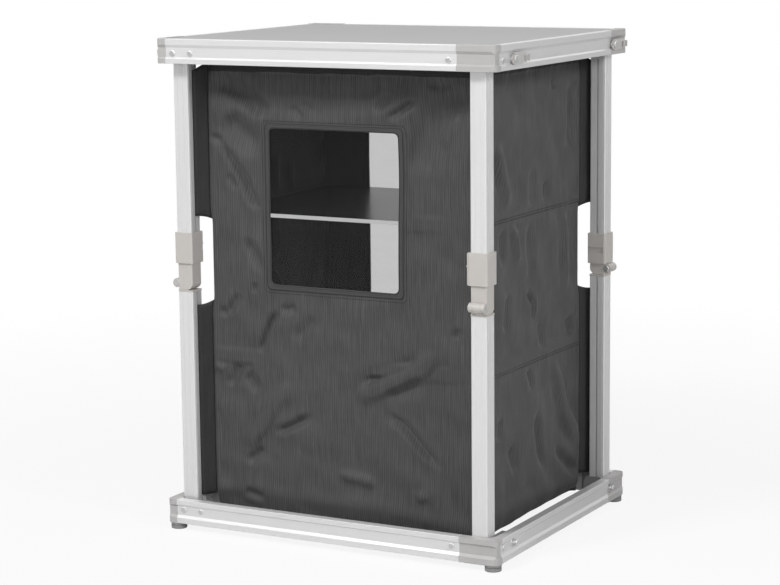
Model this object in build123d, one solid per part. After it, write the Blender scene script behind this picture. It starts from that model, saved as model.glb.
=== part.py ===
from build123d import *
import os
from math import atan2, degrees, hypot

# Folding camping cupboard. Millimetres, +Z up, front face towards -Y. The origin is on the floor
# under the middle of the frame, and the cupboard stands erected.

# Overall size over the rails
WIDTH = 600.0
DEPTH = 500.0
HEIGHT = 802.0

# Feet
FOOT_HEIGHT = 10.0
FOOT_RADIUS = 13.0
FOOT_INSET = 13.5
FOOT_PAD = 6.0
FOOT_GROOVE = 1.2
FOOT_GROOVE_DEPTH = 1.5
FOOT_STEM_RADIUS = 3.0
FOOT_STEM_LENGTH = 14.0
FOOT_STEM_ROOM = 1.0

# Rails: a hollow section with a wide and a narrow lip beside a recessed band
RAIL_HEIGHT = 40.0
RAIL_THICKNESS = 15.0
RAIL_WALL = 1.8
WIDE_LIP = 10.0
WIDE_SLOPE = 4.5
NARROW_LIP = 8.0
NARROW_SLOPE = 2.5
RECESS = 3.0
LEDGE_WIDTH = 3.0
RAIL_SETBACK = 0.6
RAIL_ROUND = 0.8

# Corner blocks: a long arm on one side of the corner and a short one on the other
CORNER_LONG = 66.0
CORNER_SHORT = 18.0
CORNER_RADIUS = 9.0
CORNER_ROUND = 1.5
CORNER_WEB = 9.0
LUG_LONG = 22.0
LUG_SHORT = 8.0
LUG_CLEARANCE = 0.2

# Tabletop
PANEL_THICKNESS = 5.0
PANEL_DROP = 1.0
PANEL_CLEARANCE = 0.3

# Folding legs
LEG = 27.0
LEG_CORNER = 2.0
LEG_WALL = 1.6
LEG_INSET_OUT = 30.0
LEG_INSET_SIDE = 38.0
CHANNEL_RADIUS = 3.0
CHANNEL_DEPTH = 4.3
CHANNEL_SLOT = 2.6
CHANNEL_WALL = 1.3
FLUTE_WIDTH = 1.4
FLUTE_DEPTH = 0.4
FLUTE_SPACING = 10.0
GROOVE_WIDTH = 2.0
GROOVE_DEPTH = 0.9
GROOVE_INSET = 3.2
LEG_END = 5.0
CLOSED_GAP = 0.4

# Knee hinge, with its axis outside the leg
KNEE_OUTSIDE = 3.0
KNUCKLE_RADIUS = 7.5
KNUCKLE_WIDTH = 13.0
KNUCKLE_CLEARANCE = 0.3
PIN_RADIUS = 3.0
BORE_CLEARANCE = 0.05
KNEE_PARTING = 11.0
KNEE_GAP = 0.3
KNEE_CAP = 3.0
KNEE_CAP_LIP = 0.5
KNEE_BLOCK = 34.0
KNEE_ROUND = 12.0
KNEE_PLUG = 30.0
PLUG_CLEARANCE = 0.1
PIN_HEAD_RADIUS = 4.8
PIN_HEAD_HEIGHT = 2.0
PIN_SOCKET = 2.0

# Sliding sleeves
SLEEVE = 33.0
SLEEVE_HEIGHT = 50.0
SLEEVE_CLEARANCE = 0.2
SLEEVE_CORNER = 2.5
SLEEVE_PARKED = 33.0
SLEEVE_LOWERED = 8.2
PAD_THICKNESS = 2.5
PAD_WIDTH = 28.0
NOTCH_BOTTOM = 19.0
NOTCH_HEIGHT = 9.0
NOTCH_DEPTH = 2.0
RIDGE_HEIGHT = 2.4
RIDGE_RISE = 1.2

# Brackets and bolts at the leg ends
CHEEK = 2.7
CHEEK_GAP = 0.3
CHEEK_REACH = 22.0
CHEEK_ROUND = 10.0
BRACKET_TAIL = 38.0
BRACKET_HEAD = 5.0
BRACKET_TOP_GAP = 1.5
WEB = 2.0
WEB_DEPTH = 15.0
BOLT_HEAD_RADIUS = 5.0
BOLT_HEAD = 2.0
NUT_HEIGHT = 3.0
NUT_RADIUS = 5.0

# Frame screws, measured along a rail from its ends
SCREW_RADIUS = 2.5
SCREW_HEAD_RADIUS = 4.5
SCREW_HEAD = 1.8
SCREW_CROSS = 4.4
SCREW_CROSS_WIDTH = 1.0
BRACKET_SCREW = 62.5
CORNER_SCREW = 80.0
CORNER_LATCH = 58.0
SCREW_LENGTH = 13.0

# Transport latches and their studs
LATCH_GAP = 0.4
LATCH_PLATE = 2.5
LATCH_PIVOT_ROUND = 9.0
LATCH_TIP_ROUND = 7.5
LATCH_TIP = 2.0
LATCH_NOTCH = 9.0
LATCH_SHOULDER_RADIUS = 4.0
LATCH_BORE_CLEARANCE = 0.08
LATCH_HEAD_GAP = 0.3
LATCH_WASHER_RADIUS = 5.8
LATCH_HEAD_RADIUS = 6.0
LATCH_HEAD = 2.2
LATCH_TAB = 4.0
LATCH_TAB_WIDTH = 2.0
LATCH_TAB_HEIGHT = 10.0
STUD_RADIUS = 3.0
STUD_FLANGE_RADIUS = 5.8
STUD_HEAD_RADIUS = 5.0
STUD_HEAD = 2.0

# Fabric body
FABRIC = 1.2
FABRIC_INSET = 60.0
FABRIC_BOTTOM = 32.0
FABRIC_TOP_GAP = 2.0
FABRIC_RISE = 2.5
CORNER_CUT = 14.0
CORNER_CUT_DROP = 24.0
FLAP = 1.0
BEAD_RADIUS = 2.4
FLAP_END = 2.0
LOWER_FLAP_GAP = 36.0
UPPER_FLAP_GAP = 109.0

# Window in the front panel
WINDOW_WIDTH = 230.0
WINDOW_HEIGHT = 250.0
WINDOW_DROP = 143.0
WINDOW_OFFSET = -14.0
WINDOW_CORNER = 8.0
WINDOW_FILM = 0.5
FILM_CLEARANCE = 0.1
BINDING_WIDTH = 10.0
BINDING = 0.8
WINDOW_MARGIN = 14.0

# Door opening on the far side, with the door rolled up inside it
DOOR_WIDTH = 330.0
DOOR_BOTTOM = 70.0
DOOR_DROP = 72.0
DOOR_CORNER = 30.0
ROLL_RADIUS = 13.0
ROLL_END_ROUND = 3.0
ROLL_OVERLAP = 10.0
TIE = 1.0
TIE_WIDTH = 20.0
TIE_SPACING = 220.0
TIE_GAP = 0.2

# Boards
BOARD = 6.0
BOARD_CLEARANCE = 0.6
BOARD_CORNER = 4.0
LOWER_SHELF_TOP = 289.0
UPPER_SHELF_TOP = 523.0

# Places that follow from the sizes above
BOTTOM_EDGE = FOOT_HEIGHT + RAIL_HEIGHT
TOP_EDGE = HEIGHT - RAIL_HEIGHT
KNEE_Z = (BOTTOM_EDGE + TOP_EDGE) / 2
HINGE_OFFSET = LEG / 2 + KNEE_OUTSIDE
PIVOT_INSET = HINGE_OFFSET - CLOSED_GAP / 2
BASE_PIVOT_Z = BOTTOM_EDGE - PIVOT_INSET
TOP_PIVOT_Z = TOP_EDGE + PIVOT_INSET
LATCH_REACH = 2 * HINGE_OFFSET
BOX_X = WIDTH / 2 - FABRIC_INSET
BOX_Y = DEPTH / 2 - FABRIC_INSET
PANEL_BOTTOM = HEIGHT - PANEL_DROP - PANEL_THICKNESS
FABRIC_TOP = PANEL_BOTTOM - FABRIC_TOP_GAP
WINDOW_BOTTOM = HEIGHT - WINDOW_DROP - WINDOW_HEIGHT
DOOR_TOP = HEIGHT - DOOR_DROP
LOWER_FLAP = (BOTTOM_EDGE + FLAP_END, KNEE_Z - LOWER_FLAP_GAP)
UPPER_FLAP = (KNEE_Z + UPPER_FLAP_GAP, TOP_EDGE - CORNER_CUT_DROP)
MIDDLE_PLANE = Plane(origin=(0, 0, KNEE_Z), z_dir=(0, 0, 1))

# Each leg stands in a frame of its own: +X points out of the cupboard past the knee axis, and +Y
# points at the rail along which the leg folds inwards. The four frames make a pinwheel.
LEGS = {
    "front_left": (-WIDTH / 2 + LEG_INSET_OUT, -DEPTH / 2 + LEG_INSET_SIDE, 180),
    "front_right": (WIDTH / 2 - LEG_INSET_SIDE, -DEPTH / 2 + LEG_INSET_OUT, -90),
    "back_right": (WIDTH / 2 - LEG_INSET_OUT, DEPTH / 2 - LEG_INSET_SIDE, 0),
    "back_left": (-WIDTH / 2 + LEG_INSET_SIDE, DEPTH / 2 - LEG_INSET_OUT, 90),
}
LOWERED_SLEEVE = "back_right"

parts = {}


def block(x0, x1, y0, y1, z0, z1):
    return Pos((x0 + x1) / 2, (y0 + y1) / 2, (z0 + z1) / 2) * Box(x1 - x0, y1 - y0, z1 - z0)


def rod_x(radius, x0, x1, y, z):
    return Pos((x0 + x1) / 2, y, z) * Rot(0, 90, 0) * Cylinder(radius, x1 - x0)


def rod_y(radius, y0, y1, x, z):
    return Pos(x, (y0 + y1) / 2, z) * Rot(90, 0, 0) * Cylinder(radius, y1 - y0)


def rod_z(radius, z0, z1, x, y):
    return Pos(x, y, (z0 + z1) / 2) * Cylinder(radius, z1 - z0)


def at_leg(leg, shape):
    x, y, turn = LEGS[leg]
    return Location((x, y, 0), (0, 0, turn)) * shape


def at_each_leg(shape):
    return [at_leg(leg, shape) for leg in LEGS]


def to_top(shape):
    return mirror(shape, about=MIDDLE_PLANE)


def group(shapes):
    return Compound(children=list(shapes))


# Frame rings

def rail_outline(setback):
    # Inset and depth below the outer lip, from the wide lip to the mating edge
    return [
        (setback, -setback),
        (setback, -WIDE_LIP),
        (RECESS, -WIDE_LIP - WIDE_SLOPE),
        (RECESS, -RAIL_HEIGHT + NARROW_LIP + NARROW_SLOPE),
        (setback, -RAIL_HEIGHT + NARROW_LIP),
        (setback, -RAIL_HEIGHT),
    ]


def opening_outline():
    ledge = -PANEL_DROP - PANEL_THICKNESS
    return [
        (RAIL_THICKNESS - LEDGE_WIDTH, 0),
        (RAIL_THICKNESS - LEDGE_WIDTH, ledge),
        (RAIL_THICKNESS, ledge),
        (RAIL_THICKNESS, -RAIL_HEIGHT),
    ]


def stepped_block(outline):
    # The rectangle of the frame, inset at each height as the outline says
    right = [(WIDTH / 2 - inset, 0, z) for inset, z in outline]
    left = [(-x, 0, z) for x, _, z in reversed(right)]
    back = [(0, DEPTH / 2 - inset, z) for inset, z in outline]
    front = [(0, -y, z) for _, y, z in reversed(back)]
    along_y = extrude(make_face(Polyline(*right, *left, close=True)), amount=DEPTH, both=True)
    along_x = extrude(make_face(Polyline(*back, *front, close=True)), amount=WIDTH, both=True)
    return along_y & along_x


def frame_ring(setback):
    rounded = extrude(RectangleRounded(WIDTH, DEPTH, CORNER_RADIUS), amount=-RAIL_HEIGHT)
    return (stepped_block(rail_outline(setback)) & rounded) - stepped_block(opening_outline())


def inset_of(edge):
    # How far the middle of an edge lies inside the overall rectangle
    middle = edge.center()
    return min(WIDTH / 2 - abs(middle.X), DEPTH / 2 - abs(middle.Y))


def softened_rail(rail):
    # Rounds the four long outer edges of a rail
    longest = max(edge.length for edge in rail.edges())
    edges = [edge for edge in rail.edges()
             if inset_of(edge) < RAIL_SETBACK + BORE_CLEARANCE and edge.length > longest / 2]
    return fillet(edges, RAIL_ROUND)


def softened_corner(corner):
    # Rounds the outer rim of a corner block on the side of its wide lip
    rim = [edge for edge in corner.edges().group_by(Axis.Z)[-1] if inset_of(edge) < RECESS]
    return fillet(rim, CORNER_ROUND)


def rail_cavity():
    # Room inside the rails, as a ring that runs on through the corners
    low = -RAIL_HEIGHT + RAIL_WALL
    high = -PANEL_DROP - PANEL_THICKNESS - RAIL_WALL
    outer = RECESS + RAIL_WALL
    inner = RAIL_THICKNESS - RAIL_WALL
    big = block(-WIDTH / 2 + outer, WIDTH / 2 - outer, -DEPTH / 2 + outer, DEPTH / 2 - outer, low, high)
    small = block(-WIDTH / 2 + inner, WIDTH / 2 - inner, -DEPTH / 2 + inner, DEPTH / 2 - inner, low, high)
    return big - small


def arm_lengths(side_x, side_y):
    if side_x * side_y < 0:
        return CORNER_LONG, CORNER_SHORT
    return CORNER_SHORT, CORNER_LONG


def corner_box(side_x, side_y, reach_x, reach_y, low, high):
    xs = sorted((side_x * WIDTH / 2, side_x * (WIDTH / 2 - reach_x)))
    ys = sorted((side_y * DEPTH / 2, side_y * (DEPTH / 2 - reach_y)))
    return block(xs[0], xs[1], ys[0], ys[1], low, high)


def corner_web(side_x, side_y):
    # Small triangle that fills the inner angle of a corner block
    x = side_x * (WIDTH / 2 - RAIL_THICKNESS)
    y = side_y * (DEPTH / 2 - RAIL_THICKNESS)
    points = [(x, y, -RAIL_HEIGHT), (x - side_x * CORNER_WEB, y, -RAIL_HEIGHT),
              (x, y - side_y * CORNER_WEB, -RAIL_HEIGHT)]
    ledge = -PANEL_DROP - PANEL_THICKNESS
    face = make_face(Polyline(*points, close=True))
    return extrude(face, amount=RAIL_HEIGHT + ledge, dir=(0, 0, 1))


def corner_lugs(side_x, side_y):
    # Tongues that go into the hollow rails on both sides of the corner
    arm_x, arm_y = arm_lengths(side_x, side_y)
    low = -RAIL_HEIGHT + RAIL_WALL + LUG_CLEARANCE
    high = -PANEL_DROP - PANEL_THICKNESS - RAIL_WALL - LUG_CLEARANCE
    outer = RECESS + RAIL_WALL + LUG_CLEARANCE
    inner = RAIL_THICKNESS - RAIL_WALL - LUG_CLEARANCE
    lug_x = arm_x + (LUG_LONG if arm_x > arm_y else LUG_SHORT)
    lug_y = arm_y + (LUG_LONG if arm_y > arm_x else LUG_SHORT)
    along_x = corner_box(side_x, side_y, lug_x, inner, low, high)
    along_x -= corner_box(side_x, side_y, lug_x, outer, low, high)
    along_x -= corner_box(side_x, side_y, arm_x, inner, low, high)
    along_y = corner_box(side_x, side_y, inner, lug_y, low, high)
    along_y -= corner_box(side_x, side_y, outer, lug_y, low, high)
    along_y -= corner_box(side_x, side_y, inner, arm_y, low, high)
    return along_x + along_y


CORNERS = [(-1, -1), (1, -1), (1, 1), (-1, 1)]


def rail_boxes():
    low, high = -RAIL_HEIGHT, 0
    x0, x1 = -WIDTH / 2, WIDTH / 2
    y0, y1 = -DEPTH / 2, DEPTH / 2
    t = RAIL_THICKNESS
    return {
        "front": block(x0 + CORNER_SHORT, x1 - CORNER_LONG, y0, y0 + t, low, high),
        "right": block(x1 - t, x1, y0 + CORNER_SHORT, y1 - CORNER_LONG, low, high),
        "back": block(x0 + CORNER_LONG, x1 - CORNER_SHORT, y1 - t, y1, low, high),
        "left": block(x0, x0 + t, y0 + CORNER_LONG, y1 - CORNER_SHORT, low, high),
    }


def place_ring_piece(shape, top):
    # The ring is modelled upside up for the top frame and turned over for the bottom frame
    if top:
        return Pos(0, 0, HEIGHT) * shape
    return Pos(0, 0, FOOT_HEIGHT) * mirror(shape, about=Plane.XY)


# Bolts and screws that pass through the frame

def pivot_bolt():
    # Head in the recess of the rail, shank through rail, bracket and leg, nut inside
    outside = LEG_INSET_SIDE - RECESS
    inside = -LEG / 2 - CHEEK_GAP - CHEEK
    head = rod_y(BOLT_HEAD_RADIUS, outside, outside + BOLT_HEAD, 0, BASE_PIVOT_Z)
    head = fillet(head.edges().filter_by(GeomType.CIRCLE).sort_by(Axis.Y)[-1], BOLT_HEAD / 2)
    shank = rod_y(PIN_RADIUS, inside - NUT_HEIGHT, outside, 0, BASE_PIVOT_Z)
    nut_face = Plane(origin=(0, inside, BASE_PIVOT_Z), z_dir=(0, -1, 0)) * RegularPolygon(NUT_RADIUS, 6)
    nut = extrude(nut_face, amount=NUT_HEIGHT)
    return head + shank + nut


def pivot_bores():
    reach = LEG_INSET_SIDE + FOOT_RADIUS
    bore = rod_y(PIN_RADIUS + BORE_CLEARANCE, -reach, reach, 0, BASE_PIVOT_Z)
    return at_each_leg(bore)


def pan_screw():
    # Head outwards along +Y from the seat at y = 0
    head = rod_y(SCREW_HEAD_RADIUS, 0, SCREW_HEAD, 0, 0)
    head = fillet(head.edges().filter_by(GeomType.CIRCLE).sort_by(Axis.Y)[-1], SCREW_HEAD / 2)
    shank = rod_y(SCREW_RADIUS, -SCREW_LENGTH, 0, 0, 0)
    half = SCREW_CROSS / 2
    wide = SCREW_CROSS_WIDTH / 2
    cross = block(-half, half, SCREW_HEAD / 2, SCREW_HEAD, -wide, wide)
    cross += block(-wide, wide, SCREW_HEAD / 2, SCREW_HEAD, -half, half)
    return head + shank - cross


def front_back_screws():
    # Two on the front rail and two on the back rail, at the pinwheel's places
    seat = DEPTH / 2 - RECESS
    screw = pan_screw()
    back = [Pos(WIDTH / 2 - BRACKET_SCREW, seat, BASE_PIVOT_Z) * screw,
            Pos(-WIDTH / 2 + CORNER_SCREW, seat, BASE_PIVOT_Z) * screw]
    front = [Rot(0, 0, 180) * one for one in back]
    return back + front


def side_places():
    # Where latches and studs sit: y of each on the right side, and the turn that brings it to its
    # own side
    at_bracket = -DEPTH / 2 + BRACKET_SCREW
    at_corner = DEPTH / 2 - CORNER_LATCH
    return {
        "front_right": (at_bracket, 0),
        "back_right": (at_corner, 0),
        "back_left": (at_bracket, 180),
        "front_left": (at_corner, 180),
    }


def at_side(place, shape, z):
    y, turn = side_places()[place]
    return Rot(0, 0, turn) * (Pos(WIDTH / 2, y, z) * shape)


def screw_bores():
    # Clearance holes for every screw of the bottom frame
    radius = SCREW_RADIUS + BORE_CLEARANCE
    bores = []
    for x in (WIDTH / 2 - BRACKET_SCREW, -WIDTH / 2 + CORNER_SCREW):
        hole = rod_y(radius, DEPTH / 2 - RECESS - SCREW_LENGTH - RAIL_THICKNESS, DEPTH / 2, x, BASE_PIVOT_Z)
        bores += [hole, Rot(0, 0, 180) * hole]
    for place in side_places():
        hole = rod_x(radius, -RECESS - SCREW_LENGTH - RAIL_THICKNESS, 0, 0, 0)
        bores.append(at_side(place, hole, BASE_PIVOT_Z))
    return bores


# Leg end brackets

def leg_bracket():
    low = BASE_PIVOT_Z - WEB_DEPTH - WEB
    high = BOTTOM_EDGE - BRACKET_TOP_GAP
    leg_side = LEG / 2 + CHEEK_GAP
    rail_side = LEG_INSET_SIDE - RAIL_THICKNESS
    inner_side = -leg_side - CHEEK
    end = LEG_INSET_OUT - RAIL_THICKNESS - CHEEK_GAP
    spacer = block(-BRACKET_TAIL, BRACKET_HEAD, leg_side, rail_side, low, high)
    web = block(-CHEEK_REACH, end, inner_side, rail_side, low, low + WEB)
    web -= block(BRACKET_HEAD, end, leg_side, rail_side, low, low + WEB)
    cheek = block(-CHEEK_REACH, end, inner_side, -leg_side, low, high)
    upper_edges = cheek.edges().filter_by(Axis.Y).group_by(Axis.Z)[-1]
    cheek = fillet(upper_edges, CHEEK_ROUND)
    return spacer + web + cheek


def leg_brackets():
    bores = pivot_bores() + screw_bores()
    return [at_leg(leg, leg_bracket()) - bores for leg in LEGS]


# Transport latches

def latch():
    # Plate in the plane of the side, from the pivot at the origin towards +Y
    plane = Plane(origin=(LATCH_GAP, 0, 0), x_dir=(0, 1, 0), z_dir=(1, 0, 0))
    ends = Circle(LATCH_PIVOT_ROUND) + Pos(LATCH_REACH + LATCH_TIP, 0) * Circle(LATCH_TIP_ROUND)
    outline = make_hull(ends.edges())
    plate = extrude(plane * outline, amount=LATCH_PLATE)
    outside = LATCH_GAP + LATCH_PLATE
    notch = rod_x(LATCH_NOTCH / 2, LATCH_GAP, outside, LATCH_REACH, 0)
    notch += block(LATCH_GAP, outside, LATCH_REACH - LATCH_NOTCH / 2, LATCH_REACH + LATCH_NOTCH / 2,
                   -LATCH_PIVOT_ROUND, 0)
    bore = rod_x(LATCH_SHOULDER_RADIUS + LATCH_BORE_CLEARANCE, LATCH_GAP, outside, 0, 0)
    tip = LATCH_REACH + LATCH_TIP + LATCH_TIP_ROUND
    tab = block(LATCH_GAP, outside + LATCH_TAB, tip - LATCH_TAB_WIDTH, tip,
                -LATCH_TAB_HEIGHT / 2, LATCH_TAB_HEIGHT / 2)
    return plate + tab - notch - bore


def latch_pivot_screw():
    # Shouldered screw on a washer that fills the recess of the rail
    outside = LATCH_GAP + LATCH_PLATE
    washer = rod_x(LATCH_WASHER_RADIUS, -RECESS, LATCH_GAP - LATCH_HEAD_GAP, 0, 0)
    seat = outside + LATCH_HEAD_GAP
    shoulder = rod_x(LATCH_SHOULDER_RADIUS, -RECESS, seat, 0, 0)
    head = rod_x(LATCH_HEAD_RADIUS, seat, seat + LATCH_HEAD, 0, 0)
    head = fillet(head.edges().filter_by(GeomType.CIRCLE).sort_by(Axis.X)[-1], LATCH_HEAD / 2)
    shank = rod_x(SCREW_RADIUS, -RECESS - SCREW_LENGTH, -RECESS, 0, 0)
    return washer + shoulder + head + shank


def latch_stud():
    outside = LATCH_GAP + LATCH_PLATE + LATCH_HEAD_GAP
    flange = rod_x(STUD_FLANGE_RADIUS, -RECESS, 0, 0, 0)
    neck = rod_x(STUD_RADIUS, -RECESS, outside, 0, 0)
    head = rod_x(STUD_HEAD_RADIUS, outside, outside + STUD_HEAD, 0, 0)
    head = fillet(head.edges().filter_by(GeomType.CIRCLE).sort_by(Axis.X)[-1], STUD_HEAD / 2)
    shank = rod_x(SCREW_RADIUS, -RECESS - SCREW_LENGTH, -RECESS, 0, 0)
    return flange + neck + head + shank


# Legs

def channel_places():
    # The keder channels open in the two inner faces of a leg
    return [Rot(0, 0, 0), Rot(0, 0, 90)]


def leg_section():
    inside = LEG - 2 * LEG_WALL
    boss_depth = CHANNEL_DEPTH + CHANNEL_RADIUS + CHANNEL_WALL
    boss_width = 2 * (CHANNEL_RADIUS + CHANNEL_WALL)
    section = RectangleRounded(LEG, LEG, LEG_CORNER) - Rectangle(inside, inside)
    for turn in channel_places():
        section += turn * Pos(-LEG / 2 + boss_depth / 2, 0) * Rectangle(boss_depth, boss_width)
    for turn in channel_places():
        section -= turn * Pos(-LEG / 2 + CHANNEL_DEPTH, 0) * Circle(CHANNEL_RADIUS)
        section -= turn * Pos(-LEG / 2 + CHANNEL_DEPTH / 2, 0) * Rectangle(CHANNEL_DEPTH, CHANNEL_SLOT)
    for turn in channel_places():
        for y in (-FLUTE_SPACING / 2, FLUTE_SPACING / 2):
            section -= turn * Pos(LEG / 2 - FLUTE_DEPTH / 2, y) * Rectangle(FLUTE_DEPTH, FLUTE_WIDTH)
    for turn, side in zip(channel_places(), (1, -1)):
        y = side * (LEG / 2 - GROOVE_INSET)
        section -= turn * Pos(-LEG / 2 + GROOVE_DEPTH / 2, y) * Rectangle(GROOVE_DEPTH, GROOVE_WIDTH)
    return section


def leg_tube(low, high, pivot_z):
    tube = extrude(Pos(0, 0, low) * leg_section(), amount=high - low)
    return tube - rod_y(PIN_RADIUS + BORE_CLEARANCE, -LEG, LEG, 0, pivot_z)


def tube_plug(low, high):
    # Fills the tube beside its channel bosses
    size = LEG - 2 * LEG_WALL - 2 * PLUG_CLEARANCE
    boss_depth = CHANNEL_DEPTH + CHANNEL_RADIUS + CHANNEL_WALL + PLUG_CLEARANCE
    boss_width = 2 * (CHANNEL_RADIUS + CHANNEL_WALL + PLUG_CLEARANCE)
    section = Rectangle(size, size)
    for turn in channel_places():
        section -= turn * Pos(-LEG / 2 + boss_depth / 2, 0) * Rectangle(boss_depth, boss_width)
    return extrude(Pos(0, 0, low) * section, amount=high - low)


def knee_bore():
    return rod_y(PIN_RADIUS + BORE_CLEARANCE, -LEG, LEG, HINGE_OFFSET, KNEE_Z)


def upper_knee():
    # Block under the upper tube, with the two outer knuckles of the hinge
    low = KNEE_Z - KNEE_PARTING + KNEE_GAP
    high = KNEE_Z + KNEE_BLOCK
    half = LEG / 2
    body = block(-half, half, -half, half, low, high)
    inner_edge = body.edges().filter_by(Axis.Y).group_by(Axis.Z)[0].sort_by(Axis.X)[0]
    body = fillet(inner_edge, KNEE_ROUND)
    body &= extrude(Pos(0, 0, low) * RectangleRounded(LEG, LEG, LEG_CORNER), amount=high - low)
    body += rod_y(KNUCKLE_RADIUS, -half, half, HINGE_OFFSET, KNEE_Z)
    slot = KNUCKLE_WIDTH / 2 + KNUCKLE_CLEARANCE
    clear = KNUCKLE_RADIUS + KNUCKLE_CLEARANCE
    body -= rod_y(clear, -slot, slot, HINGE_OFFSET, KNEE_Z)
    body -= block(HINGE_OFFSET - clear, HINGE_OFFSET + clear, -slot, slot, low, KNEE_Z)
    return body + tube_plug(high, high + KNEE_PLUG) - knee_bore()


def lower_knee():
    # Cap on the lower tube, with the middle knuckle of the hinge
    top = KNEE_Z - KNEE_PARTING
    low = top - KNEE_CAP
    half = LEG / 2 + KNEE_CAP_LIP
    cap = block(-half, half, -half, half, low, top)
    cap = fillet(cap.edges().filter_by(Axis.Z), LEG_CORNER)
    wide = KNUCKLE_WIDTH / 2
    neck = block(HINGE_OFFSET - KNUCKLE_RADIUS, half, -wide, wide, low, KNEE_Z)
    knuckle = rod_y(KNUCKLE_RADIUS, -wide, wide, HINGE_OFFSET, KNEE_Z)
    return cap + neck + knuckle + tube_plug(low - KNEE_PLUG, low) - knee_bore()


def knee_pin():
    half = LEG / 2
    shank = rod_y(PIN_RADIUS, -half, half, HINGE_OFFSET, KNEE_Z)
    head = rod_y(PIN_HEAD_RADIUS, -half - PIN_HEAD_HEIGHT, -half, HINGE_OFFSET, KNEE_Z)
    rim = head.edges().filter_by(GeomType.CIRCLE).sort_by(Axis.Y)[0]
    head = fillet(rim, PIN_HEAD_HEIGHT / 2)
    face = Plane(origin=(HINGE_OFFSET, -half - PIN_HEAD_HEIGHT, KNEE_Z), z_dir=(0, 1, 0))
    socket = extrude(face * RegularPolygon(PIN_SOCKET, 6), amount=PIN_HEAD_HEIGHT / 2)
    tail = rod_y(PIN_HEAD_RADIUS, half, half + PIN_HEAD_HEIGHT / 2, HINGE_OFFSET, KNEE_Z)
    return shank + head + tail - socket


def sleeve(bottom):
    half = SLEEVE / 2
    inside = LEG + 2 * SLEEVE_CLEARANCE
    tube = RectangleRounded(SLEEVE, SLEEVE, SLEEVE_CORNER) - RectangleRounded(inside, inside, LEG_CORNER)
    body = extrude(tube, amount=SLEEVE_HEIGHT)
    pad = block(-PAD_WIDTH / 2, PAD_WIDTH / 2, -half - PAD_THICKNESS, -half, 0, SLEEVE_HEIGHT)
    pad = chamfer(pad.edges().group_by(Axis.Y)[0].filter_by(Axis.X), PAD_THICKNESS / 2)
    front = -half - PAD_THICKNESS
    notch = block(-PAD_WIDTH / 2, PAD_WIDTH / 2 - NOTCH_DEPTH, front, front + NOTCH_DEPTH,
                  NOTCH_BOTTOM, NOTCH_BOTTOM + NOTCH_HEIGHT)
    ridge_z = NOTCH_BOTTOM + NOTCH_HEIGHT
    ridge = block(-PAD_WIDTH / 2, PAD_WIDTH / 2, front - RIDGE_RISE, front + RIDGE_RISE,
                  ridge_z, ridge_z + RIDGE_HEIGHT)
    ridge = fillet(ridge.edges().filter_by(Axis.X).group_by(Axis.Y)[0], RIDGE_RISE / 2)
    return Pos(0, 0, bottom) * (body + pad - notch + ridge)


# Fabric body

def wavy_panel(points, thickness, low, high):
    # A vertical sheet whose plan is a chain of shallow arcs. Each point is (along, rise of the arc
    # that leads to it), measured from the inner face, with +Y outwards.
    outer = []
    inner = []
    start = points[0][0]
    for end, rise in points[1:]:
        middle = (start + end) / 2
        for curves, base in ((outer, thickness), (inner, 0)):
            if rise:
                curves.append(ThreePointArc((start, base), (middle, base + rise), (end, base)))
            else:
                curves.append(Line((start, base), (end, base)))
        start = end
    first = points[0][0]
    last = points[-1][0]
    ends = [Line((first, 0), (first, thickness)), Line((last, 0), (last, thickness))]
    face = make_face(outer + inner + ends)
    return extrude(Pos(0, 0, low) * face, amount=high - low)


def corner_cuts(length):
    # Bevelled cuts at the two top corners of a panel of this length
    drop = TOP_EDGE - CORNER_CUT_DROP
    cuts = []
    for side in (-1, 1):
        edge = side * length / 2
        points = [(edge, 0, drop), (edge - side * CORNER_CUT, 0, drop + CORNER_CUT),
                  (edge - side * CORNER_CUT, 0, FABRIC_TOP), (edge, 0, FABRIC_TOP)]
        face = make_face(Polyline(*points, close=True))
        cuts.append(extrude(face, amount=BOX_Y / 2, both=True))
    return cuts


def side_panel():
    # Modelled along X with +Y outwards, between the front and the back of the box
    length = 2 * BOX_Y - 2 * FABRIC
    third = length / 3
    points = [(-length / 2, 0), (-third / 2, FABRIC_RISE), (third / 2, FABRIC_RISE / 2),
              (length / 2, FABRIC_RISE)]
    panel = wavy_panel(points, FABRIC, FABRIC_BOTTOM, FABRIC_TOP)
    return panel - corner_cuts(length)


def window_outline(grow):
    outline = RectangleRounded(WINDOW_WIDTH + 2 * grow, WINDOW_HEIGHT + 2 * grow, WINDOW_CORNER + grow)
    middle = WINDOW_BOTTOM + WINDOW_HEIGHT / 2
    centre = (WINDOW_OFFSET, 0, middle)
    return Plane(origin=centre, x_dir=(1, 0, 0), z_dir=(0, -1, 0)) * outline


def front_panel():
    flat = WINDOW_WIDTH / 2 + BINDING_WIDTH + WINDOW_MARGIN
    # Modelled facing the back and then turned round, so the window's offset counts the other way
    points = [(-BOX_X, 0), (-WINDOW_OFFSET - flat, FABRIC_RISE), (-WINDOW_OFFSET + flat, 0),
              (BOX_X, FABRIC_RISE)]
    panel = wavy_panel(points, FABRIC, FABRIC_BOTTOM, FABRIC_TOP)
    panel = Rot(0, 0, 180) * (panel - corner_cuts(2 * BOX_X))
    panel = Pos(0, -BOX_Y + FABRIC, 0) * panel
    return panel - extrude(window_outline(0), amount=2 * BOX_Y)


def window_binding():
    ring = window_outline(BINDING_WIDTH) - window_outline(0)
    return Pos(0, -BOX_Y, 0) * extrude(ring, amount=BINDING)


def window_film():
    film = extrude(window_outline(-FILM_CLEARANCE), amount=WINDOW_FILM)
    return Pos(0, -BOX_Y + FABRIC, 0) * film


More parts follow.
